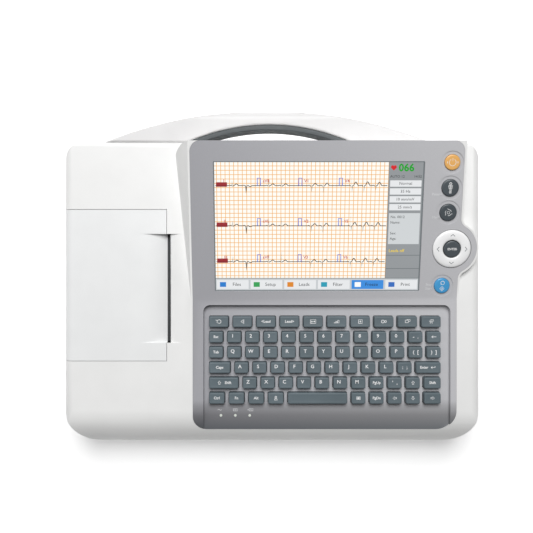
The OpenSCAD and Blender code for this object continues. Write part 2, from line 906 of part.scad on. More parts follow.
module light_guides() {
    color("#e8f0e8") for (i = [0 : 2]) {
        translate([led_first_x + i * led_pitch, led_y, keypad_z])
            cylinder(r = led_r, h = tray_floor + 0.4 - keypad_z);
    }
}

module printer_frame() {
    plate_x = head_x + head_t;
    motor_front = side_plate_y - motor_len - 4;
    side_top = platen_z - platen_shaft_r - 2;
    color("#9aa0a4") {
        difference() {
            union() {
                span([plate_x, mech_front - 2, head_bottom],
                    [plate_x + frame_t, side_plate_y + frame_t, head_top]);
                span([plate_x, mech_front - 2, floor_z], [plate_x + frame_t, motor_front, head_top]);
                span([bin_right + 3, side_plate_y, floor_z],
                    [plate_x + 12, side_plate_y + frame_t, side_top]);
            }
            rod_y(motor_x, motor_z, motor_shaft_r + 0.5, side_plate_y - cut, side_plate_y + 2 * frame_t);
        }
        rod_y(idler_x, idler_z, platen_shaft_r, side_plate_y + frame_t, gear_y + gear_w + 1);
    }
}

module paper_bin() {
    color("#d6d6d4") difference() {
        span([bin_left, paper_mid - bin_half - bin_wall, floor_z],
            [bin_right, paper_mid + bin_half + bin_wall, roll_z + 10]);
        span([bin_left + bin_wall, paper_mid - bin_half, bin_floor],
            [bin_right - bin_wall, paper_mid + bin_half, deck_h]);
        rod_y(roll_x, roll_z, roll_core_r - shaft_play, paper_mid - bin_half - 2 * bin_wall,
            paper_mid + bin_half + 2 * bin_wall);
    }
}

module paper_spindle() {
    color("#8d9296") rod_y(roll_x, roll_z, roll_core_r - shaft_play,
        paper_mid - bin_half - bin_wall, paper_mid + bin_half + bin_wall);
}

module paper_roll() {
    color("#f7f3ee") difference() {
        rod_y(roll_x, roll_z, roll_d / 2, paper_mid - paper_w / 2, paper_mid + paper_w / 2);
        rod_y(roll_x, roll_z, roll_core_r, paper_mid - paper_w, paper_mid + paper_w);
    }
}

module print_head() {
    color("#4a4f52") span([head_x, paper_mid - paper_w / 2, head_bottom],
        [head_x + head_t, paper_mid + paper_w / 2, head_top]);
}

module tear_bar() {
    top = deck_h - case_roll_drop - 0.6;
    color("#c9ccce") span([slot_left + slot_w - 0.8, paper_mid - paper_w / 2, top - 3.5],
        [slot_left + slot_w, paper_mid + paper_w / 2, top]);
}

module drive_motor() {
    color("#6d7276") difference() {
        rod_y(motor_x, motor_z, motor_r, side_plate_y - motor_len, side_plate_y);
        rod_y(motor_x, motor_z, motor_shaft_r + shaft_play, side_plate_y - 8, side_plate_y + cut);
    }
}

// Spur gear in the X-Z plane; phase is the angle of the middle of one tooth.
module gear(x, z, teeth, bore_r, phase) {
    tip = teeth * gear_module / 2 + gear_module;
    root = teeth * gear_module / 2 - 1.25 * gear_module;
    step = 360 / teeth;
    along_y(gear_y, gear_y + gear_w) translate([x, z]) difference() {
        union() {
            circle(root + 0.05);
            for (i = [0 : teeth - 1]) {
                rotate(phase + i * step) polygon([
                    [root * cos(step * 0.33), -root * sin(step * 0.33)],
                    [tip * cos(step * 0.12), -tip * sin(step * 0.12)],
                    [tip * cos(step * 0.12), tip * sin(step * 0.12)],
                    [root * cos(step * 0.33), root * sin(step * 0.33)]
                ]);
            }
        }
        circle(bore_r);
    }
}

module platen_shaft() {
    color("#b8bcbf") rod_y(platen_x, platen_z, platen_shaft_r, mech_front - 4, gear_y + gear_w);
}

module platen_roller() {
    color("#2e2e30") difference() {
        rod_y(platen_x, platen_z, platen_d / 2, mech_front, mech_back);
        rod_y(platen_x, platen_z, platen_shaft_r, mech_front - cut, mech_back + cut);
    }
}

module platen_gear() {
    color("#e6e2d6") gear(platen_x, platen_z, platen_teeth, platen_shaft_r, release_angle);
}

module idler_gear() {
    color("#e6e2d6") gear(idler_x, idler_z, idler_teeth, platen_shaft_r + shaft_play, idler_phase);
}

module motor_pinion() {
    idler_step = 360 / idler_teeth;
    off = (pinion_angle - idler_phase) / idler_step;
    shift = (off - floor(off)) * idler_step;
    phase = pinion_angle + 180 + shift * idler_teeth / pinion_teeth + 180 / pinion_teeth;
    color("#b9a46a") {
        gear(motor_x, motor_z, pinion_teeth, motor_shaft_r - 0.5, phase);
        rod_y(motor_x, motor_z, motor_shaft_r, side_plate_y - 7, gear_y + gear_w);
    }
}

module printer_lid() {
    color("#f2f2f2") difference() {
        union() {
            intersection() {
                difference() {
                    case_form(0);
                    case_form(wall);
                }
                span([left_x, lid_front, hinge_z], [lid_edge, lid_back, deck_h + cut]);
            }
            rod_y(hinge_x, hinge_z, hinge_barrel_r, lid_front, lid_back);
            roll_off_skin(-1, lid_edge, lid_roll_w, roll_drop);
            for (y = [mech_front - 1 - cheek_t, mech_back + 1]) {
                lid_cheek(y);
            }
        }
        roll_off_cut(-1, lid_edge, lid_roll_w, roll_drop);
        rod_y(hinge_x, hinge_z, hinge_pin_r + shaft_play, lid_front - cut, lid_back + cut);
        rod_y(platen_x, platen_z, platen_shaft_r + shaft_play, mech_front - 4, mech_back + 4);
    }
}

// Plate under the lid that carries one end of the platen shaft.
module lid_cheek(y) {
    half = lid_edge - platen_x - 1.2;
    rod_y(platen_x, platen_z, half, y, y + cheek_t);
    span([platen_x - half, y, platen_z], [platen_x + half, y + cheek_t, deck_h - wall + 0.5]);
}

module hinge_pin() {
    color("#b8bcbf")
        rod_y(hinge_x, hinge_z, hinge_pin_r, lid_front - seam - 6, lid_back + seam + 6);
}

module battery() {
    color("#3a3d40") span([battery_x + 0.5, battery_y + 0.5, floor_z],
        [battery_x + battery_w - 0.5, battery_y + battery_d - 0.5, floor_z + battery_t]);
}

module battery_cover() {
    color("#dcdcdc") span([battery_x + 0.2, battery_y + 0.2, base_z],
        [battery_x + battery_w - 0.2, battery_y + battery_d - 0.2, floor_z]);
}

module power_supply() {
    supply_left = left_x + 33;
    supply_right = fascia_left - 22;
    supply_front = lid_back + 10;
    supply_back = back_y - 10;
    color("#3d6b57") span([supply_left, supply_front, floor_z],
        [supply_right, supply_back, floor_z + board_t]);
    color("#c9a24a") span([supply_left + 8, supply_front + 8, floor_z + board_t],
        [supply_left + 34, supply_back - 8, floor_z + 26]);
    color("#9aa0a4") span([supply_right - 22, supply_front + 6, floor_z + board_t],
        [supply_right - 18, supply_back - 6, floor_z + 30]);
}

// Appliance inlet with three contact blades in a deep well.
module power_inlet() {
    well_w = inlet_w - 5;
    well_h = inlet_h - 5;
    color("#26282a") {
        difference() {
            span([left_x, inlet_y - inlet_w / 2, port_z - inlet_h / 2],
                [left_x + 24, inlet_y + inlet_w / 2, port_z + inlet_h / 2]);
            span([left_x - cut, inlet_y - well_w / 2, port_z - well_h / 2],
                [left_x + 18, inlet_y + well_w / 2, port_z + well_h / 2]);
        }
        for (pin = [[-7, -1.5], [0, 2.5], [7, -1.5]]) {
            span([left_x + 5, inlet_y + pin[0] - 1, port_z + pin[1] - 2],
                [left_x + 18.5, inlet_y + pin[0] + 1, port_z + pin[1] + 2]);
        }
    }
}

// Fifteen-way D socket for the patient cable.
module patient_socket() {
    x0 = right_x - socket_recess - 11;
    color("#9aa0a4") difference() {
        union() {
            span([x0, patient_y - patient_w / 2, main_board_z],
                [right_x - wall, patient_y + patient_w / 2, port_z + patient_h / 2]);
            along_x(right_x - wall - 0.5, right_x) d_outline(12.3, 5);
        }
        for (row = [[8, 1.4], [7, -1.4]]) {
            for (i = [0 : row[0] - 1]) {
                translate([right_x - 6, patient_y + (i - (row[0] - 1) / 2) * 2.77, port_z + row[1]])
                    rotate([0, 90, 0]) cylinder(r = 0.6, h = 8);
            }
        }
    }
}

// Slanted outline of a D socket.
module d_outline(half, high) {
    polygon([
        [patient_y - half + 1, port_z - high + 0.5], [patient_y + half - 1, port_z - high + 0.5],
        [patient_y + half, port_z + high - 0.5], [patient_y - half, port_z + high - 0.5]
    ]);
}

// Socket body that stands on the main board, with its nose in the opening of the side wall.
module port_block(depth, y, w, h) {
    span([right_x - depth, y - w / 2, port_z - h / 2], [right_x - 0.5, y + w / 2, port_z + h / 2]);
    span([right_x - depth, y - w / 2, main_board_z],
        [right_x - wall - 0.5, y + w / 2, port_z + h / 2]);
}

// Network socket and USB socket.
module data_ports() {
    color("#a6abad") {
        difference() {
            port_block(17, lan_y, lan_w, lan_h);
            span([right_x - 13, lan_y - 5.8, port_z - 4], [right_x + cut, lan_y + 5.8, port_z + 4]);
        }
        difference() {
            port_block(15, usb_y, usb_w, usb_h);
            span([right_x - 10, usb_y - 6, port_z - 2.2], [right_x + cut, usb_y + 6, port_z + 2.2]);
        }
        span([right_x - 10, usb_y - 5.6, port_z - 0.5], [right_x - 1.5, usb_y + 5.6, port_z + 1.3]);
    }
}

module ground_stud() {
    color("#c3a35a") translate([right_x - stud_pocket_depth, stud_y, port_z]) rotate([0, 90, 0]) {
        cylinder(r = 5.5, h = 2.5, $fn = 6);
        cylinder(r = stud_r, h = stud_pocket_depth - 1);
    }
}

module speaker() {
    color("#2b2b2d") translate([speaker_x, speaker_y, floor_z]) {
        cylinder(r = speaker_r, h = speaker_h - 6);
        cylinder(r = speaker_r * 0.55, h = speaker_h);
    }
}

module rubber_feet() {
    color("#2b2b2d") for (x = [left_x + foot_inset_x, right_x - foot_inset_x]) {
        for (y = [front_y + foot_inset_front, back_y - foot_inset_back]) {
            translate([x, y, 0]) cylinder(r = foot_r, h = base_z);
        }
    }
}

module case_screws() {
    color("#b8bcbf") for (place = screw_places) {
        translate([place[0], place[1], base_z + screw_counterbore]) {
            translate([0, 0, -screw_head_h]) difference() {
                cylinder(r = screw_head_r, h = screw_head_h);
                translate([0, 0, -cut]) cylinder(r = 1.4, h = 1 + cut, $fn = 6);
            }
            translate([0, 0, -0.5])
                cylinder(r = screw_shank_r, h = parting_h + screw_bite - base_z - screw_counterbore);
        }
    }
}

module power_button() {
    color("#f5c583") round_button(power_v, power_button_d);
}

module patient_button() {
    color("#50585c") round_button(patient_v, menu_button_d);
}

module mode_button() {
    color("#50585c") round_button(mode_v, menu_button_d);
}

module start_button() {
    color("#4ba3da") round_button(start_v, start_button_d);
}

// Gimbal ring: two pins along X carry the ring above, two along V sit in the fascia.
module nav_pivot() {
    pin_from = gimbal_in_r + 1.5;
    pin_to = nav_lug_r + nav_lug_t / 2;
    color("#d0d0d0") on_slope() translate([nav_x, nav_v, -nav_pin_depth]) {
        difference() {
            translate([0, 0, -gimbal_t / 2]) cylinder(r = gimbal_out_r, h = gimbal_t);
            translate([0, 0, -gimbal_t]) cylinder(r = gimbal_in_r, h = 2 * gimbal_t);
        }
        for (turn = [0 : 90 : 270]) {
            rotate([0, 90, turn]) translate([0, 0, pin_from])
                cylinder(r = nav_pin_r, h = pin_to - pin_from);
        }
    }
}

module nav_ring() {
    color("#f4f4f4") on_slope() translate([nav_x, nav_v, 0]) {
        translate([0, 0, nav_rise - nav_skin]) difference() {
            cylinder(r = nav_ring_d / 2, h = nav_skin);
            translate([0, 0, -cut]) cylinder(r = nav_hole_r, h = nav_skin + 2 * cut);
        }
        for (side = [-1, 1]) {
            rotate(90) nav_lug(side * nav_lug_r, -nav_pin_depth - 1.9, nav_rise - nav_skin + 0.5);
        }
    }
}

module enter_button() {
    color("#50585c") on_slope() translate([nav_x, nav_v, 0]) {
        translate([0, 0, -2.6]) cylinder(r = enter_button_d / 2, h = 2.6 + nav_rise + 0.4);
        translate([0, 0, -nav_cup_depth - seat_gap - button_flange_t])
            cylinder(r = enter_stem_r, h = nav_cup_depth + seat_gap + button_flange_t - 2);
        translate([0, 0, -nav_cup_depth - seat_gap - button_flange_t])
            cylinder(r = enter_stem_r + button_flange, h = button_flange_t);
    }
}

module function_key(i) {
    color("#4f5b5e") key(function_row, 0, i);
}

// Keys number first to last of a row.
module key_run(row, n, first, last) {
    color("#4f5b5e") for (i = [first : last]) {
        key(row, n, i);
    }
}

module arrow_keys() {
    key_run(shift_row, 4, 10, 10);
    key_run(space_row, 5, 7, 9);
}

module lower_letter_keys() {
    key_run(shift_row, 4, 0, 9);
    key_run(shift_row, 4, 11, 11);
}

module modifier_keys() {
    key_run(space_row, 5, 0, 3);
    key_run(space_row, 5, 5, 6);
}

lower_case();
upper_case();
fascia();
handle();
handle_grip();
touch_glass();
lcd_module();
main_board();
keypad_board();
keymat();
light_guides();
printer_frame();
paper_bin();
paper_spindle();
print_head();
drive_motor();
tear_bar();
battery();
battery_cover();
power_supply();
power_inlet();
patient_socket();
data_ports();
ground_stud();
speaker();
rubber_feet();
case_screws();
hinge_pin();
printer_lid();
platen_shaft();
platen_roller();
platen_gear();
idler_gear();
motor_pinion();
paper_roll();
power_button();
patient_button();
mode_button();
start_button();
nav_pivot();
nav_ring();
enter_button();
function_key(0);  // function_key_1
function_key(1);  // function_key_2
function_key(2);  // function_key_3
function_key(3);  // function_key_4
function_key(4);  // function_key_5
function_key(5);  // function_key_6
function_key(6);  // function_key_7
function_key(7);  // function_key_8
function_key(8);  // function_key_9
function_key(9);  // function_key_10
key_run(plain_row, 1, 0, 12);  // digit_keys
key_run(plain_row, 2, 0, 12);  // upper_letter_keys
key_run(home_row, 3, 0, 10);  // home_letter_keys
lower_letter_keys();
modifier_keys();
arrow_keys();
key_run(space_row, 5, 4, 4);  // space_bar
key_run(home_row, 3, 11, 11);  // enter_key
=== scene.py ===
# Looks of a desktop ECG recorder: white moulded case with a carrying handle, a printer lid on the
# left, a grey fascia with a sloping display, a rubbery keyboard and a column of round buttons.
import math

import bmesh
import bpy
from mathutils import Matrix, Vector
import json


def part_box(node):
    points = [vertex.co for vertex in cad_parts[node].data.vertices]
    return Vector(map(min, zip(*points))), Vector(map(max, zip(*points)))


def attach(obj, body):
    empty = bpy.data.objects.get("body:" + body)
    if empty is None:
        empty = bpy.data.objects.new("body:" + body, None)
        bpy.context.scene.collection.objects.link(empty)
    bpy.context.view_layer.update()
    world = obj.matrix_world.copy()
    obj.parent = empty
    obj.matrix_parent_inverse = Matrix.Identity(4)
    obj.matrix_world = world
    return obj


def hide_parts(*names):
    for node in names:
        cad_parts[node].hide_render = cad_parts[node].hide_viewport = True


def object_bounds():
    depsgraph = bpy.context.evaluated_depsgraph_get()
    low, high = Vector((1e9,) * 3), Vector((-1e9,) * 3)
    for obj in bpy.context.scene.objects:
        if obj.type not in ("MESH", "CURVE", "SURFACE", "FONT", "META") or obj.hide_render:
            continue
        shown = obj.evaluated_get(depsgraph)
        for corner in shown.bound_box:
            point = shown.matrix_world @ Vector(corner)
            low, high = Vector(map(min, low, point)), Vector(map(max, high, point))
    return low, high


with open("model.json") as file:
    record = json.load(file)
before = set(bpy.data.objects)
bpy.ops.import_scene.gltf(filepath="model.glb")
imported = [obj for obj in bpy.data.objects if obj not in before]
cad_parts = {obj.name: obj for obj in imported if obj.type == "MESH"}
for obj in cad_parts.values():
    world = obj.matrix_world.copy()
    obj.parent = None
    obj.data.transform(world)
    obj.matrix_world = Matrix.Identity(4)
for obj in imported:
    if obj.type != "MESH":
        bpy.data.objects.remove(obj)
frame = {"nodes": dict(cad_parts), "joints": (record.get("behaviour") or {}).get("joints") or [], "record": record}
cad_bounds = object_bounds()
nodes = frame["nodes"]
body_of = {node: body for body, members in frame["record"]["behaviour"]["bodies"].items()
           for node in members}
joints = {joint["name"]: joint for joint in frame["joints"]}
MM = 0.001


# ---------------------------------------------------------------- places on the machine

fascia_low, fascia_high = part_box("fascia")
deck_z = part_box("printer_lid")[1].z
slope_in = Vector(joints["power_button_press"]["axis"])
slope_out = -slope_in
slope_up = slope_out.cross(Vector((1, 0, 0)))
fascia_back = Vector((0, fascia_high.y, fascia_high.z))
crease = fascia_back - slope_up * ((fascia_high.z - deck_z) / slope_up.z)


def on_slope(x, up, out=0.0):
    """Matrix of a place on the sloping fascia: x across, up the slope from its crease, and out."""
    place = Matrix((Vector((1, 0, 0)), slope_up, slope_out)).transposed().to_4x4()
    place.translation = crease + Vector((x, 0, 0)) + slope_up * up + slope_out * out
    return place


def slope_place(node):
    """Where a node's middle lies on the slope: x across and distance up from the crease."""
    across = [v.co.x for v in nodes[node].data.vertices]
    along = [(v.co - crease).dot(slope_up) for v in nodes[node].data.vertices]
    return (min(across) + max(across)) / 2, (min(along) + max(along)) / 2


def flat_place(x, y, z):
    """Matrix of a place that lies flat."""
    return Matrix.Translation((x, y, z))


# ---------------------------------------------------------------- materials

def linear(code):
    """A linear colour from an sRGB hex value."""
    parts = [int(code[i:i + 2], 16) / 255 for i in (0, 2, 4)]
    return tuple(c / 12.92 if c <= 0.04045 else ((c + 0.055) / 1.055) ** 2.4 for c in parts) + (1,)


def add(tree, kind, values=None, links=None, **settings):
    """Adds a node with its settings, its fixed inputs and its links."""
    made = tree.nodes.new("ShaderNode" + kind)
    for name, value in settings.items():
        setattr(made, name, value)
    for name, value in (values or {}).items():
        made.inputs[name].default_value = value
    for name, source in (links or {}).items():
        tree.links.new(source, made.inputs[name])
    return made


def start_material(name, values):
    """A new material: its node tree, its shader with fixed values, and the object coordinates."""
    material = bpy.data.materials.new(name)
    material.use_nodes = True
    tree = material.node_tree
    shader = tree.nodes["Principled BSDF"]
    for socket, value in values.items():
        shader.inputs[socket].default_value = value
    place = add(tree, "TexCoord").outputs["Object"]
    return material, tree, shader, place


def moulded(name, light, dark, rough, grain_mm, grain_um, **values):
    """A moulded or cast surface. Its colour drifts between two close tones over a few centimetres,
    its gloss varies a little, and a fine texture from the tool roughens it."""
    material, tree, shader, place = start_material(name, values)
    drift = add(tree, "TexNoise", {"Scale": 22.0, "Detail": 3.0}, {"Vector": place})
    tone = add(tree, "ValToRGB", None, {"Fac": drift.outputs["Fac"]})
    tone.color_ramp.elements[0].position = 0.3
    tone.color_ramp.elements[0].color = linear(dark)
    tone.color_ramp.elements[1].position = 0.7
    tone.color_ramp.elements[1].color = linear(light)
    tree.links.new(tone.outputs["Color"], shader.inputs["Base Color"])
    grain = add(tree, "TexNoise", {"Scale": 1 / (grain_mm * MM), "Detail": 2.0}, {"Vector": place})
    gloss = add(tree, "MapRange", {"To Min": rough - 0.05, "To Max": rough + 0.05},
                {"Value": grain.outputs["Fac"]})
    tree.links.new(gloss.outputs["Result"], shader.inputs["Roughness"])
    bump = add(tree, "Bump", {"Strength": 0.6, "Distance": grain_um * 1e-6},
               {"Height": grain.outputs["Fac"]})
    tree.links.new(bump.outputs["Normal"], shader.inputs["Normal"])
    return material


# ABS, injection moulded in a lightly etched tool: near white, satin, a grain one can just feel.
case_abs = moulded("abs_moulded_satin_white", "F4F4F3", "EFEFEE", 0.42, 1.2, 12, **{"IOR": 1.53})
# The same ABS from another tool, so the lid is a trace cooler than the case.
lid_abs = moulded("abs_moulded_lid_white", "F3F4F4", "EEEFEF", 0.40, 1.2, 12, **{"IOR": 1.53})
# ABS in a dark slate, etched: the keycaps.
key_abs = moulded("abs_moulded_slate_keys", "66737A", "5B686E", 0.5, 0.9, 14, **{"IOR": 1.53})
# The handle's white ABS is set greyer than the case, which is painted shade, so that its top doesn't burn out in
# the key light.
handle_abs_painted_shade = moulded("abs_moulded_handle_white_painted_shade", "E3E2E2", "DCDBDB", 0.46, 1.2, 12, **{"IOR": 1.53})
# Polycarbonate caps, polished: amber, blue, charcoal and white.
amber_pc = moulded("polycarbonate_amber_cap", "F5BE72", "EFB262", 0.3, 1.5, 4, **{"IOR": 1.58})
blue_pc = moulded("polycarbonate_blue_cap", "52ABE2", "4499D2", 0.28, 1.5, 4, **{"IOR": 1.58})
charcoal_pc = moulded("polycarbonate_charcoal_cap", "555C61", "484F54", 0.32, 1.5, 5,
                      **{"IOR": 1.58})
ring_pc = moulded("polycarbonate_white_ring", "FFFFFF", "FBFBFC", 0.25, 1.5, 4, **{"IOR": 1.58})
# Thermoplastic elastomer over-moulded on the handle: soft, dull, slightly velvety.
grip_tpe = moulded("tpe_overmoulded_grip", "54595B", "4A4F51", 0.62, 1.0, 30, **{"IOR": 1.5})
# Silicone rubber, compression moulded: matt with a faint bloom.
silicone = moulded("silicone_moulded_keymat", "777D80", "6C7275", 0.6, 1.4, 10, **{"IOR": 1.41})
black_rubber = moulded("nitrile_rubber_moulded", "2B2C2D", "202122", 0.7, 1.0, 25, **{"IOR": 1.52})
dark_nylon = moulded("nylon_glass_filled_dark", "3B3E41", "303335", 0.55, 0.8, 20, **{"IOR": 1.53})
grey_nylon = moulded("nylon_glass_filled_grey", "A7ABAD", "999DA0", 0.5, 0.8, 18, **{"IOR": 1.53})
gear_acetal = moulded("acetal_moulded_gear", "E9E5DA", "DFDACD", 0.38, 1.0, 6, **{"IOR": 1.48})
bin_abs = moulded("abs_moulded_bin_grey", "C9CBCC", "BFC1C2", 0.48, 1.2, 14, **{"IOR": 1.53})
# Printed ink: pad-printed white, dark grey and pale grey, a shade uneven.
white_ink = moulded("pad_print_white_ink", "F7F7F7", "EDEEEE", 0.5, 0.6, 3, **{"IOR": 1.5})
grey_ink = moulded("pad_print_grey_ink", "8A8E92", "7D8185", 0.5, 0.6, 3, **{"IOR": 1.5})
pale_ink = moulded("pad_print_pale_ink", "DCDDDF", "D3D4D6", 0.5, 0.6, 3, **{"IOR": 1.5})
light_pipe = moulded("acrylic_light_pipe", "E8EDE6", "DDE3DA", 0.2, 1.0, 3, **{"IOR": 1.49})


def fascia_film(name):
    """Polycarbonate film, screen printed in silver grey behind a matt face, with a fine sparkle. It
    gets lighter from left to right, which is painted light, as if lit from the right. The dark band
    along the front edge is painted shade: it stands in for the shade of an edge that curves down,
    which the fascia's shape doesn't have."""
    material, tree, shader, place = start_material(name, {"IOR": 1.58, "Specular IOR Level": 0.4})
    spread = add(tree, "SeparateXYZ", None, {"Vector": place})
    # Painted light: the film's grey is made lighter towards the right, as if lit from that side.
    across = add(tree, "MapRange", {"From Min": fascia_low.x, "From Max": fascia_high.x},
                 {"Value": spread.outputs["X"]})
    tone = add(tree, "ValToRGB", None, {"Fac": across.outputs["Result"]})
    tone.color_ramp.elements[0].color = linear("A8A8AD")
    tone.color_ramp.elements[1].color = linear("C6C6C9")
    # Painted shade: a dark band along the front edge, where an edge that curves down would fall into shade.
    along = add(tree, "MapRange", {"From Min": fascia_low.y, "From Max": fascia_high.y},
                {"Value": spread.outputs["Y"]})
    depth = add(tree, "ValToRGB", None, {"Fac": along.outputs["Result"]})
    depth.color_ramp.elements[0].color = (0.27, 0.29, 0.3, 1)
    depth.color_ramp.elements[1].color = (1, 1, 1, 1)
    for position, grey in ((0.05, 0.46), (0.085, 0.75), (0.105, 1.0)):
        depth.color_ramp.elements.new(position).color = (grey, grey, grey, 1)
    shade = add(tree, "MixRGB", {"Fac": 1.0}, {"Color1": tone.outputs["Color"],
                                              "Color2": depth.outputs["Color"]},
                blend_type="MULTIPLY")
    flake = add(tree, "TexNoise", {"Scale": 900.0, "Detail": 2.0}, {"Vector": place})
    fleck = add(tree, "MixRGB", {"Fac": 0.05}, {"Color1": shade.outputs["Color"],
                                               "Color2": flake.outputs["Fac"]},
                blend_type="OVERLAY")
    tree.links.new(fleck.outputs["Color"], shader.inputs["Base Color"])
    gloss = add(tree, "MapRange", {"To Min": 0.36, "To Max": 0.48}, {"Value": flake.outputs["Fac"]})
    tree.links.new(gloss.outputs["Result"], shader.inputs["Roughness"])
    bump = add(tree, "Bump", {"Strength": 0.5, "Distance": 6e-6}, {"Height": flake.outputs["Fac"]})
    tree.links.new(bump.outputs["Normal"], shader.inputs["Normal"])
    return material


def metal(name, code, rough, brush_mm, stretch):
    """A drawn, rolled or turned metal: fine lines along one axis catch the light."""
    material, tree, shader, place = start_material(name, {"Metallic": 1.0})
    lines = add(tree, "Mapping", {"Scale": stretch}, {"Vector": place})
    brush = add(tree, "TexNoise", {"Scale": 1 / (brush_mm * MM), "Detail": 3.0},
                {"Vector": lines.outputs["Vector"]})
    low = tuple(0.86 * c for c in linear(code)[:3]) + (1,)
    tone = add(tree, "ValToRGB", None, {"Fac": brush.outputs["Fac"]})
    tone.color_ramp.elements[0].color = low
    tone.color_ramp.elements[1].color = linear(code)
    tree.links.new(tone.outputs["Color"], shader.inputs["Base Color"])
    gloss = add(tree, "MapRange", {"To Min": rough - 0.08, "To Max": rough + 0.1},
                {"Value": brush.outputs["Fac"]})
    tree.links.new(gloss.outputs["Result"], shader.inputs["Roughness"])
    return material


def board_fibre(name):
    """Glass-epoxy board with green resist: copper tracks show as a lighter pattern beneath it."""
    material, tree, shader, place = start_material(name, {"IOR": 1.55, "Roughness": 0.35})
    tracks = add(tree, "TexBrick", {"Color1": linear("1F6B45"), "Color2": linear("1B5F3D"),
                                    "Mortar": linear("2F8A5C"), "Scale": 220.0,
                                    "Mortar Size": 0.03}, {"Vector": place})
    tree.links.new(tracks.outputs["Color"], shader.inputs["Base Color"])
    bump = add(tree, "Bump", {"Strength": 0.4, "Distance": 3e-5}, {"Height": tracks.outputs["Fac"]})
    tree.links.new(bump.outputs["Normal"], shader.inputs["Normal"])
    return material


def thermal_paper(name):
    """Thermal chart paper: smooth coated white with a faint pink grid of 5 mm squares."""
    material, tree, shader, place = start_material(name, {"IOR": 1.45, "Roughness": 0.55})
    grid = add(tree, "TexBrick", {"Color1": linear("FAF7F4"), "Color2": linear("F7F3F0"),
                                  "Mortar": linear("EFC3B8"), "Scale": 200.0, "Mortar Size": 0.04,
                                  "Brick Width": 1.0, "Row Height": 1.0}, {"Vector": place},
               offset=0.0)
    tree.links.new(grid.outputs["Color"], shader.inputs["Base Color"])
    return material


def lit(name, code, strength=1.0, drift=0.04):
    """A part of the lit display: colour comes from the backlight, with its slight unevenness."""
    material, tree, shader, place = start_material(
        name, {"Base Color": (0.01, 0.01, 0.01, 1), "Roughness": 0.3, "IOR": 1.5,
               "Emission Strength": strength, "Specular IOR Level": 0.2})
    cloud = add(tree, "TexNoise", {"Scale": 14.0, "Detail": 1.0}, {"Vector": place})
    tone = add(tree, "ValToRGB", None, {"Fac": cloud.outputs["Fac"]})
    tone.color_ramp.elements[0].color = tuple((1 - drift) * c for c in linear(code)[:3]) + (1,)
    tone.color_ramp.elements[1].color = linear(code)
    tree.links.new(tone.outputs["Color"], shader.inputs["Emission Color"])
    return material


def lit_grid(name, pitch_mm, line_mm, paper, line):
    """The lit chart: pale squares with thin lines every few millimetres."""
    material, tree, shader, place = start_material(
        name, {"Base Color": (0.01, 0.01, 0.01, 1), "Roughness": 0.3, "IOR": 1.5,
               "Emission Strength": 1.0, "Specular IOR Level": 0.2})
    turned = add(tree, "Mapping", {"Rotation": (-math.atan2(slope_up.z, slope_up.y), 0, 0)},
                 {"Vector": place})
    grid = add(tree, "TexBrick", {"Color1": linear(paper), "Color2": linear(paper),
                                  "Mortar": linear(line), "Scale": 1 / (pitch_mm * MM),
                                  "Mortar Size": line_mm / pitch_mm / 2, "Mortar Smooth": 0.2,
                                  "Brick Width": 1.0, "Row Height": 1.0},
               {"Vector": turned.outputs["Vector"]}, offset=0.0)
    tree.links.new(grid.outputs["Color"], shader.inputs["Emission Color"])
    return material


silver_film_painted_shading = fascia_film("polycarbonate_film_silver_grey_painted_shading")
rolled_steel = metal("steel_zinc_plated", "C9CCCE", 0.35, 0.6, (1, 0.05, 1))
spring_steel = metal("stainless_steel_ground", "D5D7D9", 0.25, 0.4, (1, 0.03, 1))
turned_brass = metal("brass_turned", "D8B765", 0.28, 0.4, (0.05, 1, 1))
chart_paper = thermal_paper("thermal_paper_coated")
green_board = board_fibre("glass_epoxy_board_green")


# ---------------------------------------------------------------- making pieces

SHARP_EDGE = 38    # degrees between two faces from which an edge of the CAD shape gets rounded
SMOOTH_BELOW = 32  # degrees below which an edge of a modelled piece is shaded smooth


def finish_piece(bm, name, body, material, replaced=(), smooth=SMOOTH_BELOW, even=False):
    """Turns a bmesh into a piece that rides on a body and takes a finish. An even piece
    keeps flat shading on its flats, right up to its rounded edges."""
    mesh = bpy.data.meshes.new(name)
    bm.to_mesh(mesh)
    bm.free()
    mesh.materials.append(material)
    mesh.shade_smooth()
    mesh.set_sharp_from_angle(angle=math.radians(smooth))
    piece = bpy.data.objects.new(name, mesh)
    bpy.context.scene.collection.objects.link(piece)
    if even:
        weights = piece.modifiers.new("even_shading", "WEIGHTED_NORMAL")
        weights.keep_sharp = True
    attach(piece, body)
    if replaced:
        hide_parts(*replaced)
    return piece


def join_into(bm, part):
    """Adds one bmesh to another."""
    mesh = bpy.data.meshes.new("part")
    part.to_mesh(mesh)
    part.free()
    bm.from_mesh(mesh)
    bpy.data.meshes.remove(mesh)


def cad_copy(node):
    """A merged copy of a CAD node's mesh, with its flat faces whole again."""
    bm = bmesh.new()
    bm.from_mesh(nodes[node].data)
    bmesh.ops.remove_doubles(bm, verts=bm.verts, dist=2e-6)
    bmesh.ops.dissolve_limit(bm, angle_limit=math.radians(0.6), verts=bm.verts, edges=bm.edges)
    return bm


def softened(node, name, material, width_mm):
    """A copy of a CAD node whose moulded edges are rounded."""
    bm = cad_copy(node)
    sharp = [edge for edge in bm.edges if len(edge.link_faces) == 2
             and edge.calc_face_angle(0) > math.radians(SHARP_EDGE)]
    bmesh.ops.bevel(bm, geom=sharp, offset=width_mm * MM, offset_type="OFFSET", segments=2,
                    profile=0.5, affect="EDGES", clamp_overlap=True, material=-1)
    bmesh.ops.triangulate(bm, faces=bm.faces[:])
    return finish_piece(bm, name, body_of[node], material, [node], SHARP_EDGE + 2, True)


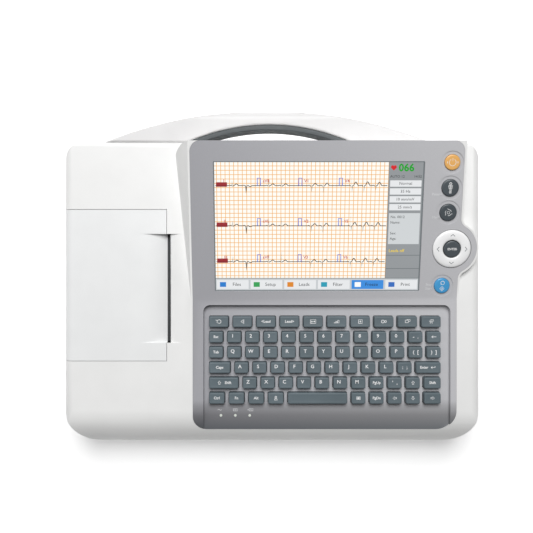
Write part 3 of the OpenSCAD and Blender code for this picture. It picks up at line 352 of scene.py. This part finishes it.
def turned(profile, place, steps=64):
    """A lathed shape: points (radius, height) in millimetres spun about the place's own axis."""
    bm = bmesh.new()
    path = [bm.verts.new((r * MM, 0, h * MM)) for r, h in profile]
    edges = [bm.edges.new(pair) for pair in zip(path, path[1:])]
    bmesh.ops.spin(bm, geom=path + edges, axis=(0, 0, 1), cent=(0, 0, 0), steps=steps,
                   angle=2 * math.pi, use_merge=True)
    bmesh.ops.remove_doubles(bm, verts=bm.verts, dist=1e-6)
    bmesh.ops.recalc_face_normals(bm, faces=bm.faces)
    bmesh.ops.transform(bm, matrix=place, verts=bm.verts)
    return bm


def slab(low, high, corner, edge, segments=4):
    """A block with round upright corners and a rolled top edge, from corner to corner."""
    bm = bmesh.new()
    bmesh.ops.create_cube(bm, size=1)
    size = [h - l for l, h in zip(low, high)]
    middle = [(h + l) / 2 for l, h in zip(low, high)]
    bmesh.ops.scale(bm, vec=size, verts=bm.verts)
    bmesh.ops.translate(bm, vec=middle, verts=bm.verts)
    upright = [e for e in bm.edges if abs(e.verts[0].co.z - e.verts[1].co.z) > size[2] / 2]
    bmesh.ops.bevel(bm, geom=upright, offset=corner, offset_type="OFFSET", segments=5,
                    profile=0.5, affect="EDGES", material=-1)
    if edge:
        top = max(bm.faces, key=lambda f: f.calc_center_median().z)
        bmesh.ops.bevel(bm, geom=list(top.edges), offset=edge, offset_type="OFFSET",
                        segments=segments, profile=0.5, affect="EDGES", material=-1)
    return bm


def drawn(lines, width_mm, place, closed=False):
    """Printed strokes: lines of points in millimetres, laid as a thin raised ink on a place."""
    curve = bpy.data.curves.new("strokes", "CURVE")
    curve.dimensions = "3D"
    curve.bevel_depth = width_mm / 2 * MM
    curve.bevel_resolution = 0
    curve.use_fill_caps = True
    for line in lines:
        spline = curve.splines.new("POLY")
        spline.points.add(len(line) - 1)
        for point, (x, y) in zip(spline.points, line):
            point.co = (x * MM, y * MM, 0, 1)
        spline.use_cyclic_u = closed
    return solid_of(curve, place, 0.12)


def solid_of(curve, place, flatten):
    """The mesh of a curve or of lettering, flattened to ink and laid on its place."""
    shown = bpy.data.objects.new("drawn", curve)
    bpy.context.scene.collection.objects.link(shown)
    graph = bpy.context.evaluated_depsgraph_get()
    mesh = bpy.data.meshes.new_from_object(shown.evaluated_get(graph))
    bpy.data.objects.remove(shown)
    bm = bmesh.new()
    bm.from_mesh(mesh)
    bpy.data.meshes.remove(mesh)
    bmesh.ops.remove_doubles(bm, verts=bm.verts, dist=1e-7)
    bmesh.ops.transform(bm, matrix=place @ Matrix.Diagonal((1, 1, flatten, 1)), verts=bm.verts)
    bmesh.ops.recalc_face_normals(bm, faces=bm.faces)
    return bm


def lettered(text, size_mm, place, align="CENTER", bold=0.0):
    """Lettering as a thin raised ink: its middle line at the place."""
    font = bpy.data.curves.new("letters", "FONT")
    font.body = text
    font.size = size_mm * MM
    font.extrude = 0.02 * MM
    font.offset = bold * MM
    font.resolution_u = 2
    font.align_x = align
    font.align_y = "CENTER"
    return solid_of(font, place, 1.0)


def circle(x, y, radius, start=0, end=360, points=20):
    """Points of an arc, in millimetres."""
    return [(x + radius * math.cos(math.radians(start + (end - start) * i / points)),
             y + radius * math.sin(math.radians(start + (end - start) * i / points)))
            for i in range(points + 1)]


# ---------------------------------------------------------------- case, lid and handle

softened("upper_case", "case_top", case_abs, 0.5)
softened("lower_case", "case_base", case_abs, 0.5)
softened("printer_lid", "lid_shell", lid_abs, 0.5)
softened("handle", "handle_bar", handle_abs_painted_shade, 3.0)
softened("handle_grip", "grip_cover", grip_tpe, 1.2)
softened("fascia", "fascia_plate", silver_film_painted_shading, 0.35)

finishes = {
    "touch_glass": dark_nylon, "lcd_module": dark_nylon,
    "main_board": green_board, "keypad_board": green_board, "keymat": silicone,
    "light_guides": light_pipe, "printer_frame": rolled_steel, "paper_bin": bin_abs,
    "paper_spindle": bin_abs, "print_head": dark_nylon, "drive_motor": rolled_steel,
    "tear_bar": spring_steel, "battery": dark_nylon, "battery_cover": case_abs,
    "power_supply": rolled_steel, "power_inlet": dark_nylon, "patient_socket": grey_nylon,
    "data_ports": rolled_steel, "ground_stud": turned_brass, "speaker": dark_nylon,
    "rubber_feet": black_rubber, "case_screws": rolled_steel, "hinge_pin": spring_steel,
    "platen_shaft": spring_steel, "platen_roller": black_rubber, "platen_gear": gear_acetal,
    "idler_gear": gear_acetal, "motor_pinion": turned_brass, "paper_roll": chart_paper,
    "nav_pivot": dark_nylon,
}
for node, material in finishes.items():
    nodes[node].data.materials.clear()
    nodes[node].data.materials.append(material)


# ---------------------------------------------------------------- keyboard

def islands(bm):
    """The separate shells of a bmesh, as lists of vertices."""
    left = set(bm.verts)
    shells = []
    while left:
        reached = [left.pop()]
        shell = list(reached)
        while reached:
            for edge in reached.pop().link_edges:
                for vert in edge.verts:
                    if vert in left:
                        left.remove(vert)
                        reached.append(vert)
                        shell.append(vert)
        shells.append(shell)
    return shells


def key_boxes(node):
    """Lowest and highest corners of each cap of a row of keys, from left to right."""
    bm = bmesh.new()
    bm.from_mesh(nodes[node].data)
    bmesh.ops.remove_doubles(bm, verts=bm.verts, dist=2e-6)
    boxes = []
    for shell in islands(bm):
        top = max(v.co.z for v in shell)
        cap = [v.co for v in shell if v.co.z > top - 0.5 * MM]
        low = Vector((min(c.x for c in cap), min(c.y for c in cap), min(v.co.z for v in shell)))
        high = Vector((max(c.x for c in cap), max(c.y for c in cap), top))
        boxes.append((low, high))
    bm.free()
    return sorted(boxes, key=lambda box: (-round(box[1].y, 3), box[0].x))


def keycap(low, high):
    """One moulded cap: drafted sides, a rolled rim and a shallow dish."""
    bm = slab((low.x, low.y, low.z + 1.0 * MM), high, 1.6 * MM, 0)
    middle = (low + high) / 2
    top = max(bm.faces, key=lambda f: f.calc_center_median().z)
    size = high - low
    bmesh.ops.scale(bm, vec=(1 - 0.5 * MM / size.x, 1 - 0.5 * MM / size.y, 1), verts=top.verts,
                    space=Matrix.Translation(-middle))
    bmesh.ops.bevel(bm, geom=list(top.edges), offset=0.9 * MM, offset_type="OFFSET", segments=4,
                    profile=0.5, affect="EDGES", material=-1)
    top = max(bm.faces, key=lambda f: (round(f.calc_center_median().z, 5), f.calc_area()))
    for inward, sink in ((1.2, 0.10), (2.0, 0.08)):
        bmesh.ops.inset_region(bm, faces=[top], thickness=0.01 * MM)
        bmesh.ops.scale(bm, vec=(1 - 2 * inward * MM / size.x, 1 - 2 * inward * MM / size.y, 1),
                        verts=top.verts, space=Matrix.Translation(-middle))
        bmesh.ops.translate(bm, vec=(0, 0, -sink * MM), verts=top.verts)
    return bm


ARROW_UP = [(-1.6, 0.2), (0, 1.9), (1.6, 0.2), (0.7, 0.2), (0.7, -1.7), (-0.7, -1.7), (-0.7, 0.2)]


def turned_points(points, quarter_turns):
    """Points turned by quarter turns about their middle."""
    for _ in range(quarter_turns):
        points = [(-y, x) for x, y in points]
    return points


def icon(kind):
    """Line drawings on the keys without letters, as (lines, closed)."""
    icons = {
        "up": ([ARROW_UP], True),
        "left": ([turned_points(ARROW_UP, 1)], True),
        "down": ([turned_points(ARROW_UP, 2)], True),
        "right": ([turned_points(ARROW_UP, 3)], True),
        "back": ([[(2.6, 0), (-2.4, 0)], [(-0.9, 1.1), (-2.4, 0), (-0.9, -1.1)]], False),
        "return": ([[(2.4, 1.5), (2.4, 0), (-1.8, 0)], [(-0.5, 1), (-1.8, 0), (-0.5, -1)]], False),
        "undo": ([circle(0.5, 0, 1.9, -150, 150), [(-3.2, 1.6), (-1.1, 0.9), (-2.0, -0.9)]], False),
        "mute": ([[(-1.4, 0), (0.5, 1.7), (0.5, -1.7), (-1.4, 0)], [(1.5, 2.3), (1.5, -2.3)]],
                 False),
        "menu": ([[(-2.8, -1.9), (2.8, -1.9), (2.8, 1.9), (-2.8, 1.9), (-2.8, -1.9)],
                  [(-2, 0), (2, 0)], [(-1.2, 0.8), (-2, 0), (-1.2, -0.8)],
                  [(1.2, 0.8), (2, 0), (1.2, -0.8)]], False),
        "level": ([[(-3, -1.4), (-2, -1.4), (-2, -0.6)],
                   [(-1, -1.4), (-1, 0.2), (0.2, 0.2), (0.2, -1.4)],
                   [(1, -1.4), (1, 1.2), (2.4, 1.2), (2.4, -1.4), (-3, -1.4)]], False),
        "chart": ([[(-1.9, -1.9), (1.9, -1.9), (1.9, 1.9), (-1.9, 1.9), (-1.9, -1.9)],
                   [(0, -1), (0, 1)], [(-1, 0), (1, 0)]], False),
        "link": ([circle(-1.2, 0, 1.5), circle(1.6, 0, 1.0)], False),
        "copy": ([[(-2.4, -1.2), (0.8, -1.2), (0.8, 1.4), (-2.4, 1.4), (-2.4, -1.2)],
                  [(0.8, 0.2), (2.6, 0.2), (2.6, 2.2), (-0.6, 2.2), (-0.6, 1.4)]], False),
        "save": ([[(-2.2, 0.4), (2.2, 0.4), (2.2, 2), (-0.4, 2), (-0.4, 1.2)],
                  [(-1, -2.2), (-1, -0.6), (1, -0.6), (1, -2.2)]], False),
        "user": ([circle(0, 1.1, 0.9),
                  [(-1.5, -2), (-1.0, -0.5), (1.0, -0.5), (1.5, -2), (-1.5, -2)]], False),
        "list": ([[(-1.9, -1.4), (1.9, -1.4), (1.9, 1.4), (-1.9, 1.4), (-1.9, -1.4)],
                  [(-1.2, 0.5), (1.2, 0.5)], [(-1.2, 0), (1.2, 0)], [(-1.2, -0.5), (1.2, -0.5)]],
                 False),
    }
    return icons[kind]


legends = {
    "digit_keys": ["Esc", "1", "2", "3", "4", "5", "6", "7", "8", "9", "0", "- .", "@back"],
    "upper_letter_keys": ["Tab", *"QWERTYUIOP", "( [", ") ]"],
    "home_letter_keys": ["Caps", *"ASDFGHJKL", ": ;"],
    "enter_key": ["Enter @return"],
    "lower_letter_keys": ["@up Shift", *"ZXCVBNM", "PgUp", "' ,", "Shift"],
    "modifier_keys": ["Ctrl", "Fn", "Alt", "@user", "@list", "PgDn"],
    "arrow_keys": ["@up", "@left", "@down", "@right"],
    "space_bar": [""],
    "function_key_1": ["@undo"], "function_key_2": ["@mute"], "function_key_3": ["<Lead"],
    "function_key_4": ["Lead>"], "function_key_5": ["@menu"], "function_key_6": ["@level"],
    "function_key_7": ["@chart"], "function_key_8": ["@link"], "function_key_9": ["@copy"],
    "function_key_10": ["@save"],
}


def print_legend(ink, text, low, high):
    """Prints a key's legend: letters to the upper left, icons and words where they fit."""
    middle = (low + high) / 2
    face = high.z - 0.15 * MM
    marks = text.split(" ")
    single = len(text) == 1
    for i, mark in enumerate(marks):
        along = (i - (len(marks) - 1) / 2) * (4.6 if len(text) < 4 else 9.0) * MM
        place = flat_place(middle.x + along - (1.6 * MM if single else 0),
                           middle.y + (1.3 * MM if single else 0.4 * MM), face)
        if mark.startswith("@"):
            lines, closed = icon(mark[1:])
            join_into(ink, drawn(lines, 0.55, place, closed))
        elif mark:
            fitting = 4.6 * (high.x - low.x) / MM / 3.0 / len(mark)
            size = 5.2 if len(mark) == 1 else min(3.9, fitting)
            join_into(ink, lettered(mark, size, place, bold=0.09))


for node, texts in legends.items():
    caps = bmesh.new()
    ink = bmesh.new()
    for text, (low, high) in zip(texts, key_boxes(node)):
        join_into(caps, keycap(low, high))
        if text:
            print_legend(ink, text, low, high)
    finish_piece(caps, node + "_caps", body_of[node], key_abs, [node])
    if ink.verts:
        finish_piece(ink, node + "_print", body_of[node], white_ink)
    else:
        ink.free()


# ---------------------------------------------------------------- buttons on the slope

def button(node, radius, material, stem=None):
    """A domed cap, standing as deep and as proud as the CAD button, on its flange or its stem."""
    x, up = slope_place(node)
    points = [v.co - crease for v in nodes[node].data.vertices]
    top = max(p.dot(slope_out) for p in points) / MM
    bottom = min(p.dot(slope_out) for p in points) / MM
    foot = stem or radius
    flange = foot + 1.3
    rim = bottom + 1.0
    if stem:
        rim = min(p.dot(slope_out) for p in points
                  if math.hypot(p.x - x, p.dot(slope_up) - up) > (radius - 0.2) * MM) / MM
    profile = [(0, bottom), (flange, bottom), (flange, bottom + 1.0), (foot, bottom + 1.0),
               (foot, rim), (radius, rim), (radius, top - 0.8), (radius - 0.15, top - 0.45),
               (radius - 0.5, top - 0.2), (radius - 1.0, top - 0.06), (radius - 2.0, top - 0.02),
               (0, top)]
    if not stem:
        profile.remove((foot, rim))
    cap = turned(profile, on_slope(x, up))
    finish_piece(cap, node + "_cap", body_of[node], material, [node], 50)
    return x, up, top


# Radii of the round caps and of the stem under the enter button, in millimetres.
START_R = 8.0
MENU_R = 8.6
POWER_R = 7.8
ENTER_R = 8.5
ENTER_STEM_R = 5.0

start_x, start_up, start_top = button("start_button", START_R, blue_pc)
mode_x, mode_up, mode_top = button("mode_button", MENU_R, charcoal_pc)
patient_x, patient_up, patient_top = button("patient_button", MENU_R, charcoal_pc)
power_x, power_up, power_top = button("power_button", POWER_R, amber_pc)
enter_x, enter_up, enter_top = button("enter_button", ENTER_R, charcoal_pc,
                                      ENTER_STEM_R)

# The navigation ring: a broad white torus, highest near its middle, round the enter button.
ring_x, ring_up = slope_place("nav_ring")
ring_points = [(v.co - crease) for v in nodes["nav_ring"].data.vertices]
ring_high = max(p.dot(slope_out) for p in ring_points) / MM
ring_out = (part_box("nav_ring")[1].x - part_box("nav_ring")[0].x) / 2 / MM
ring_in = ENTER_R + 0.8
ring_profile = [(ring_in, ring_high - 2.2), (ring_in, ring_high - 0.9),
                (ring_in + 0.4, ring_high - 0.45), (ring_in + 1.2, ring_high - 0.15),
                (ring_in + 3.4, ring_high),
                (ring_out - 4.0, ring_high - 0.1), (ring_out - 1.6, ring_high - 0.5),
                (ring_out - 0.5, ring_high - 1.0), (ring_out, ring_high - 1.8),
                (ring_out, ring_high - 2.6), (ring_out - 1.5, ring_high - 2.8),
                (ring_in + 0.6, ring_high - 2.6), (ring_in, ring_high - 2.2)]
ring = turned(ring_profile, on_slope(ring_x, ring_up), 96)
finish_piece(ring, "nav_ring_cap", "nav_ring", ring_pc, ["nav_ring"], 50)

marks = bmesh.new()
for turn in range(4):
    chevron = turned_points([(-2.3, 13.3), (0, 15.3), (2.3, 13.3)], turn)
    join_into(marks, drawn([chevron], 0.75, on_slope(ring_x, ring_up, (ring_high - 0.02) * MM)))
finish_piece(marks, "nav_ring_arrows", "nav_ring", grey_ink)


def printed(name, node, parts):
    """One piece of white print that rides with a button."""
    ink = bmesh.new()
    for part in parts:
        join_into(ink, part)
    finish_piece(ink, name, body_of[node], white_ink)


printed("enter_print", "enter_button",
        [lettered("ENTER", 3.3, on_slope(enter_x, enter_up, enter_top * MM), bold=0.06)])
figure = [circle(0, 4.2, 1.1), [(-2.0, 2.4), (2.0, 2.4), (1.6, -0.6), (1.0, -0.6), (0.9, -5.2),
                                (-0.9, -5.2), (-1.0, -0.6), (-1.6, -0.6), (-2.0, 2.4)],
          [(0, 2.0), (0, -4.8)], [(-0.8, 2.0), (-0.6, -0.8)], [(0.8, 2.0), (0.6, -0.8)]]
printed("patient_print", "patient_button",
        [drawn(figure, 0.9, on_slope(patient_x, patient_up, (patient_top - 0.03) * MM))])
swirl = [circle(0, 0, 3.1, a, a + 75, 8) + circle(0, 0, 4.0, a + 80, a + 85, 1)
         for a in (20, 140, 260)] + [circle(0, 0, 1.3)]
printed("mode_print", "mode_button",
        [drawn(swirl, 0.8, on_slope(mode_x, mode_up, (mode_top - 0.03) * MM))])
dial = [circle(0, 0, 3.4, 120, 420, 24), [(0, 1.2), (0, 4.2)],
        [(-5.2, -1), (-5.2, 1)], [(5.2, -1), (5.2, 1)]]
printed("power_print", "power_button",
        [drawn(dial, 0.75, on_slope(power_x, power_up, (power_top - 0.03) * MM))])
start_signs = [circle(0.4, 3.2, 1.9), [(-1.6, 1.6), (-0.3, 2.4)],
               [(0, -0.4), (2.3, -2.9), (0, -5.4), (-2.3, -2.9), (0, -0.4)], circle(0, -2.9, 0.8)]
printed("start_print", "start_button",
        [drawn(start_signs, 0.8, on_slope(start_x, start_up, (start_top - 0.03) * MM))])

# Names of the buttons and signs of the lamps, printed pale on the fascia.
notes = bmesh.new()
for word, x, up in (("Patient", patient_x - 13.2 * MM, patient_up - 6.5 * MM),
                    ("Mode", mode_x - 11.8 * MM, mode_up - 5.0 * MM),
                    ("Stop", start_x - 13.6 * MM, start_up + 1.2 * MM),
                    ("Start", start_x - 13.6 * MM, start_up - 3.0 * MM)):
    join_into(notes, lettered(word, 3.6, on_slope(x, up, 0.01 * MM), bold=0.05))
lamp_low, lamp_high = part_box("light_guides")
for i, kind in enumerate(("mains", "battery", "charging")):
    x = lamp_low.x + (lamp_high.x - lamp_low.x) * i / 2
    place = flat_place(x, (lamp_low.y + lamp_high.y) / 2 + 5.8 * MM, deck_z - 6.0 * MM + 0.01 * MM)
    case_sign = [(-2, -1.2), (2, -1.2), (2, 1.2), (-2, 1.2), (-2, -1.2)]
    signs = {"mains": [[(-2, -0.3), (-1, 0.7), (0, 0), (1, -0.7), (2, 0.3)]],
             "battery": [case_sign, [(-1, 0), (1, 0)]],
             "charging": [case_sign, [(-4, 0), (-2, 0)], [(-0.8, 0.4), (0.8, -0.4)]]}
    join_into(notes, drawn(signs[kind], 0.55, place))
finish_piece(notes, "fascia_print", "case", pale_ink)


# ---------------------------------------------------------------- display

glass_low, glass_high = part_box("touch_glass")
glass_out = max((v.co - crease).dot(slope_out) for v in nodes["touch_glass"].data.vertices)
glass_up = [(v.co - crease).dot(slope_up) for v in nodes["touch_glass"].data.vertices]
margin = 4.0 * MM
screen_left, screen_right = glass_low.x + margin, glass_high.x - margin
screen_bottom, screen_top = min(glass_up) + margin, max(glass_up) - margin
screen_w = (screen_right - screen_left) / MM
screen_h = (screen_top - screen_bottom) / MM


def screen_at(layer):
    """Matrix of the display's lower left corner; layers stack outwards by a few hundredths."""
    return on_slope(screen_left, screen_bottom, glass_out + 0.03 * MM * layer)


def pane(x0, y0, x1, y1, layer):
    """A thin block of the lit picture, in millimetres from the display's lower left corner."""
    part = slab((x0 * MM, y0 * MM, -0.02 * MM), (x1 * MM, y1 * MM, 0.0), 0.01 * MM, 0)
    bmesh.ops.transform(part, matrix=screen_at(layer), verts=part.verts)
    return part


def picture(name, material, parts):
    """One colour of the lit picture as a piece."""
    whole = bmesh.new()
    for part in parts:
        join_into(whole, part)
    finish_piece(whole, name, "case", material)


def written(text, x, y, size, layer=4, align="CENTER", bold=0.0):
    """Lettering on the display."""
    return lettered(text, size, screen_at(layer) @ flat_place(x * MM, y * MM, 0), align, bold)


def traced(lines, width, layer=4, closed=False):
    """Strokes on the display."""
    return drawn(lines, width, screen_at(layer), closed)


chart_w = 0.832 * screen_w
bar_h = 0.098 * screen_h
side_x = chart_w + 0.4

picture("screen_surround", lit("lcd_lit_dark_edge", "6F7679"), [pane(0, 0, screen_w, screen_h, 1)])
picture("screen_chart", lit_grid("lcd_lit_chart_grid", 4.35, 0.75, "FFFDF6", "F2B76E"),
        [pane(1.0, bar_h + 0.6, chart_w, screen_h - 1.0, 2)])
picture("screen_column", lit("lcd_lit_grey_column", "9A9EA1", drift=0.15),
        [pane(side_x, bar_h + 0.6, screen_w - 1.0, screen_h - 1.0, 2)])
picture("screen_toolbar", lit("lcd_lit_toolbar", "C9CDD0"),
        [pane(1.0, 0.8, screen_w - 1.0, bar_h, 2)])

# Buttons of the toolbar and fields of the side column.
gap = 1.0
step = (screen_w - 2.0) / 6
tool_x = [1.0 + step * i for i in range(6)]
column_mid = (side_x + screen_w - 1.0) / 2
fields = [screen_h - y for y in (25.6, 33.6, 41.6, 49.6)]
picture("screen_buttons", lit("lcd_lit_button_face", "E9EBED"),
        [pane(x + gap, 2.0, x + step - gap, bar_h - 1.6, 3) for i, x in enumerate(tool_x) if i != 4]
        + [pane(side_x + 1.4, y, screen_w - 2.2, y + 6.4, 3) for y in fields])
picture("screen_button_lit", lit("lcd_lit_button_chosen", "3F8FE0"),
        [pane(tool_x[4] + gap, 2.0, tool_x[4] + step - gap, bar_h - 1.6, 3)])
picture("screen_field", lit("lcd_lit_field", "D2D6D8"),
        [pane(side_x + 1.4, screen_h - 84.5, screen_w - 2.2, screen_h - 52.5, 3)])
picture("screen_lines", lit("lcd_lit_line", "6E7477"),
        [pane(side_x, y, screen_w - 1.0, y + 0.6, 3) for y in (screen_h - 96.5, screen_h - 110.5)])

def beat(amplitude, dip, hump):
    """One heartbeat as offsets (along, up) in millimetres: a small wave, a sharp one, a broad one."""
    shape = [(0, 0), (0.8, 0.5), (1.6, 0), (2.3, 0), (2.6, -0.2 * dip), (3.0, amplitude),
             (3.5, -dip), (4.0, 0), (5.2, 0.2)]
    rise = [(5.2 + 0.5 * i, 0.2 + hump * math.sin(math.pi * i / 8)) for i in range(1, 8)]
    return shape + rise + [(9.6, 0)]


def trace(y, beats):
    """One line of the recording."""
    points = [(2.0, y)]
    for start, amplitude, dip, hump in beats:
        points += [(start + dx, y + dy) for dx, dy in beat(amplitude, dip, hump)]
    return points + [(chart_w - 1.0, y)]


rows = [screen_h - 24.5, screen_h - 65.5, screen_h - 103.0]
# Heartbeats of the limb and the chest leads: start along the line, amplitude, dip and hump.
limb = [(16.0, 3.5, 1.0, 1.4), (30.0, -6.5, 2.5, -1.2), (53.0, 5.5, 1.0, 1.6),
        (66.0, 6.5, 1.2, 1.6)]
chest = [(96.0, 2.0, 6.5, 2.0), (108.0, 2.4, 7.0, 2.4), (137.0, 9.5, 6.0, 3.4),
         (149.0, 10.5, 6.5, 3.6), (161.0, 10.0, 5.0, 3.2), (170.0, 9.0, 3.0, 3.0)]
traces = []
for n, y in enumerate(rows):
    lively = 1.2 + 0.15 * n
    traces.append(trace(y, [(x, a * lively, d, h) for x, a, d, h in limb + chest
                            if x + 9.6 < chart_w - 1]))
picture("screen_traces", lit("lcd_lit_trace", "1C1C1E"), [traced(traces, 0.75)])
pulses = [[(x, y), (x, y + 7.5), (x + 3.2, y + 7.5), (x + 3.2, y)] for y in rows
          for x in (44.5, 86.5, 127.5)]
picture("screen_pulses", lit("lcd_lit_pulse", "4B6CE0"), [traced(pulses, 0.8, 5)])
leads = [("I", "aVR", "V1", "V4"), ("II", "aVL", "V2", "V5"), ("III", "aVF", "V3", "V6")]
picture("screen_leads", lit("lcd_lit_lead_name", "C4383C"),
        [written(name, x, y + 4.6, 4.4, 5, "LEFT", 0.05) for y, names in zip(rows, leads)
         for name, x in zip(names, (10.0, 50.0, 92.0, 133.0))])
picture("screen_tags", lit("lcd_lit_tag", "9C2F35"),
        [pane(2.6, y - 1.2, 13.8, y + 3.4, 5) for y in rows])

heart = [(0, -2.2), (-2.4, 0.2), (-2.2, 1.7), (-1.0, 2.1), (0, 1.1), (1.0, 2.1), (2.2, 1.7),
         (2.4, 0.2)]
picture("screen_heart", lit("lcd_lit_heart", "D8262C"),
        [drawn([[(x * k, y * k) for x, y in heart] for k in (1, 0.72, 0.42, 0.16)], 1.1,
               screen_at(4) @ flat_place((side_x + 4.6) * MM, (screen_h - 6.6) * MM, 0), True)])
picture("screen_rate", lit("lcd_lit_rate", "1FA32B"),
        [written("066", column_mid + 0.2, screen_h - 6.8, 10.5, 4, "CENTER", 0.3)])
words = [written("AUTO 12", side_x + 1.2, screen_h - 15.4, 3.6, 4, "LEFT"),
         written("14:52", screen_w - 2.2, screen_h - 15.4, 3.6, 4, "RIGHT")]
for text, y in zip(("Normal", "35 Hz", "10 mm/mV", "25 mm/s"), fields):
    words.append(written(text, column_mid, y + 3.2, 4.2))
for i, text in enumerate(("No. 0012", "Name:", "", "Sex:", "Age:")):
    words.append(written(text or " ", side_x + 3.0, screen_h - 56.5 - 5.6 * i, 3.8, 4, "LEFT"))
for text, x in zip(("Files", "Setup", "Leads", "Filter", "Freeze", "Print"), tool_x):
    words.append(written(text, x + step * 0.62, bar_h / 2 + 0.2, 5.0))
picture("screen_words", lit("lcd_lit_words", "26292B"), [w for w in words if w.verts])
picture("screen_note", lit("lcd_lit_note", "F2D23C"),
        [written("Leads off", side_x + 2.4, screen_h - 91.5, 4.4, 4, "LEFT", 0.04)])
for i, code in enumerate(("2E7FD0", "3DA35A", "E08A2E", "2F9FB8", "FFFFFF", "3B6FC0")):
    picture(f"screen_sign_{i + 1}", lit(f"lcd_lit_sign_{i + 1}", code),
            [pane(tool_x[i] + 4.2, 4.2, tool_x[i] + 10.6, bar_h - 3.8, 4)])


# ---------------------------------------------------------------- stage, light and camera

def sheet_of(name, low, high, material):
    """A flat stage surface."""
    bm = bmesh.new()
    bmesh.ops.create_grid(bm, x_segments=1, y_segments=1, size=0.5)
    bmesh.ops.scale(bm, vec=(high[0] - low[0], high[1] - low[1], 1), verts=bm.verts)
    middle = ((high[0] + low[0]) / 2, (high[1] + low[1]) / 2, low[2])
    bmesh.ops.translate(bm, vec=middle, verts=bm.verts)
    mesh = bpy.data.meshes.new(name)
    bm.to_mesh(mesh)
    bm.free()
    mesh.materials.append(material)
    stage = bpy.data.objects.new(name, mesh)
    bpy.context.scene.collection.objects.link(stage)


# Matt white lacquered board, bright enough to read as a plain white ground.
floor_board = moulded("lacquer_sprayed_white_board", "FFFFFF", "FDFDFD", 0.5, 3.0, 2,
                      **{"IOR": 1.5, "Emission Color": (1, 1, 1, 1), "Emission Strength": 0.3})
sheet_of("floor", (-4, -4, cad_bounds[0][2]), (4, 4, cad_bounds[0][2]), floor_board)


def softbox(name, place, aim, size, power):
    """A square studio light that points at a place."""
    light = bpy.data.lights.new(name, "AREA")
    light.size = size
    light.energy = power
    lamp = bpy.data.objects.new(name, light)
    lamp.location = place
    lamp.rotation_euler = (Vector(aim) - Vector(place)).to_track_quat("-Z", "Y").to_euler()
    bpy.context.scene.collection.objects.link(lamp)


centre = (Vector(cad_bounds[0]) + Vector(cad_bounds[1])) / 2
softbox("key_box", centre + Vector((0.05, 1.3, 2.2)), centre, 1.5, 64)
softbox("fill_box", centre + Vector((-1.3, 0.1, 1.0)), centre, 1.0, 2.5)

world = bpy.data.worlds.new("studio")
world.use_nodes = True
world.node_tree.nodes["Background"].inputs["Color"].default_value = (1, 1, 1, 1)
world.node_tree.nodes["Background"].inputs["Strength"].default_value = 0.12
bpy.context.scene.world = world
bpy.context.scene.view_settings.view_transform = "Standard"

camera = bpy.data.cameras.new("camera")
camera.lens = 44
camera.sensor_width = 36
camera.clip_end = 20
eye = bpy.data.objects.new("camera", camera)
eye.location = Vector((cad_bounds[0][0] + 0.21225, cad_bounds[1][1] - 0.1641, deck_z + 0.681))
bpy.context.scene.collection.objects.link(eye)
bpy.context.scene.camera = eye

bpy.context.view_layer.update()
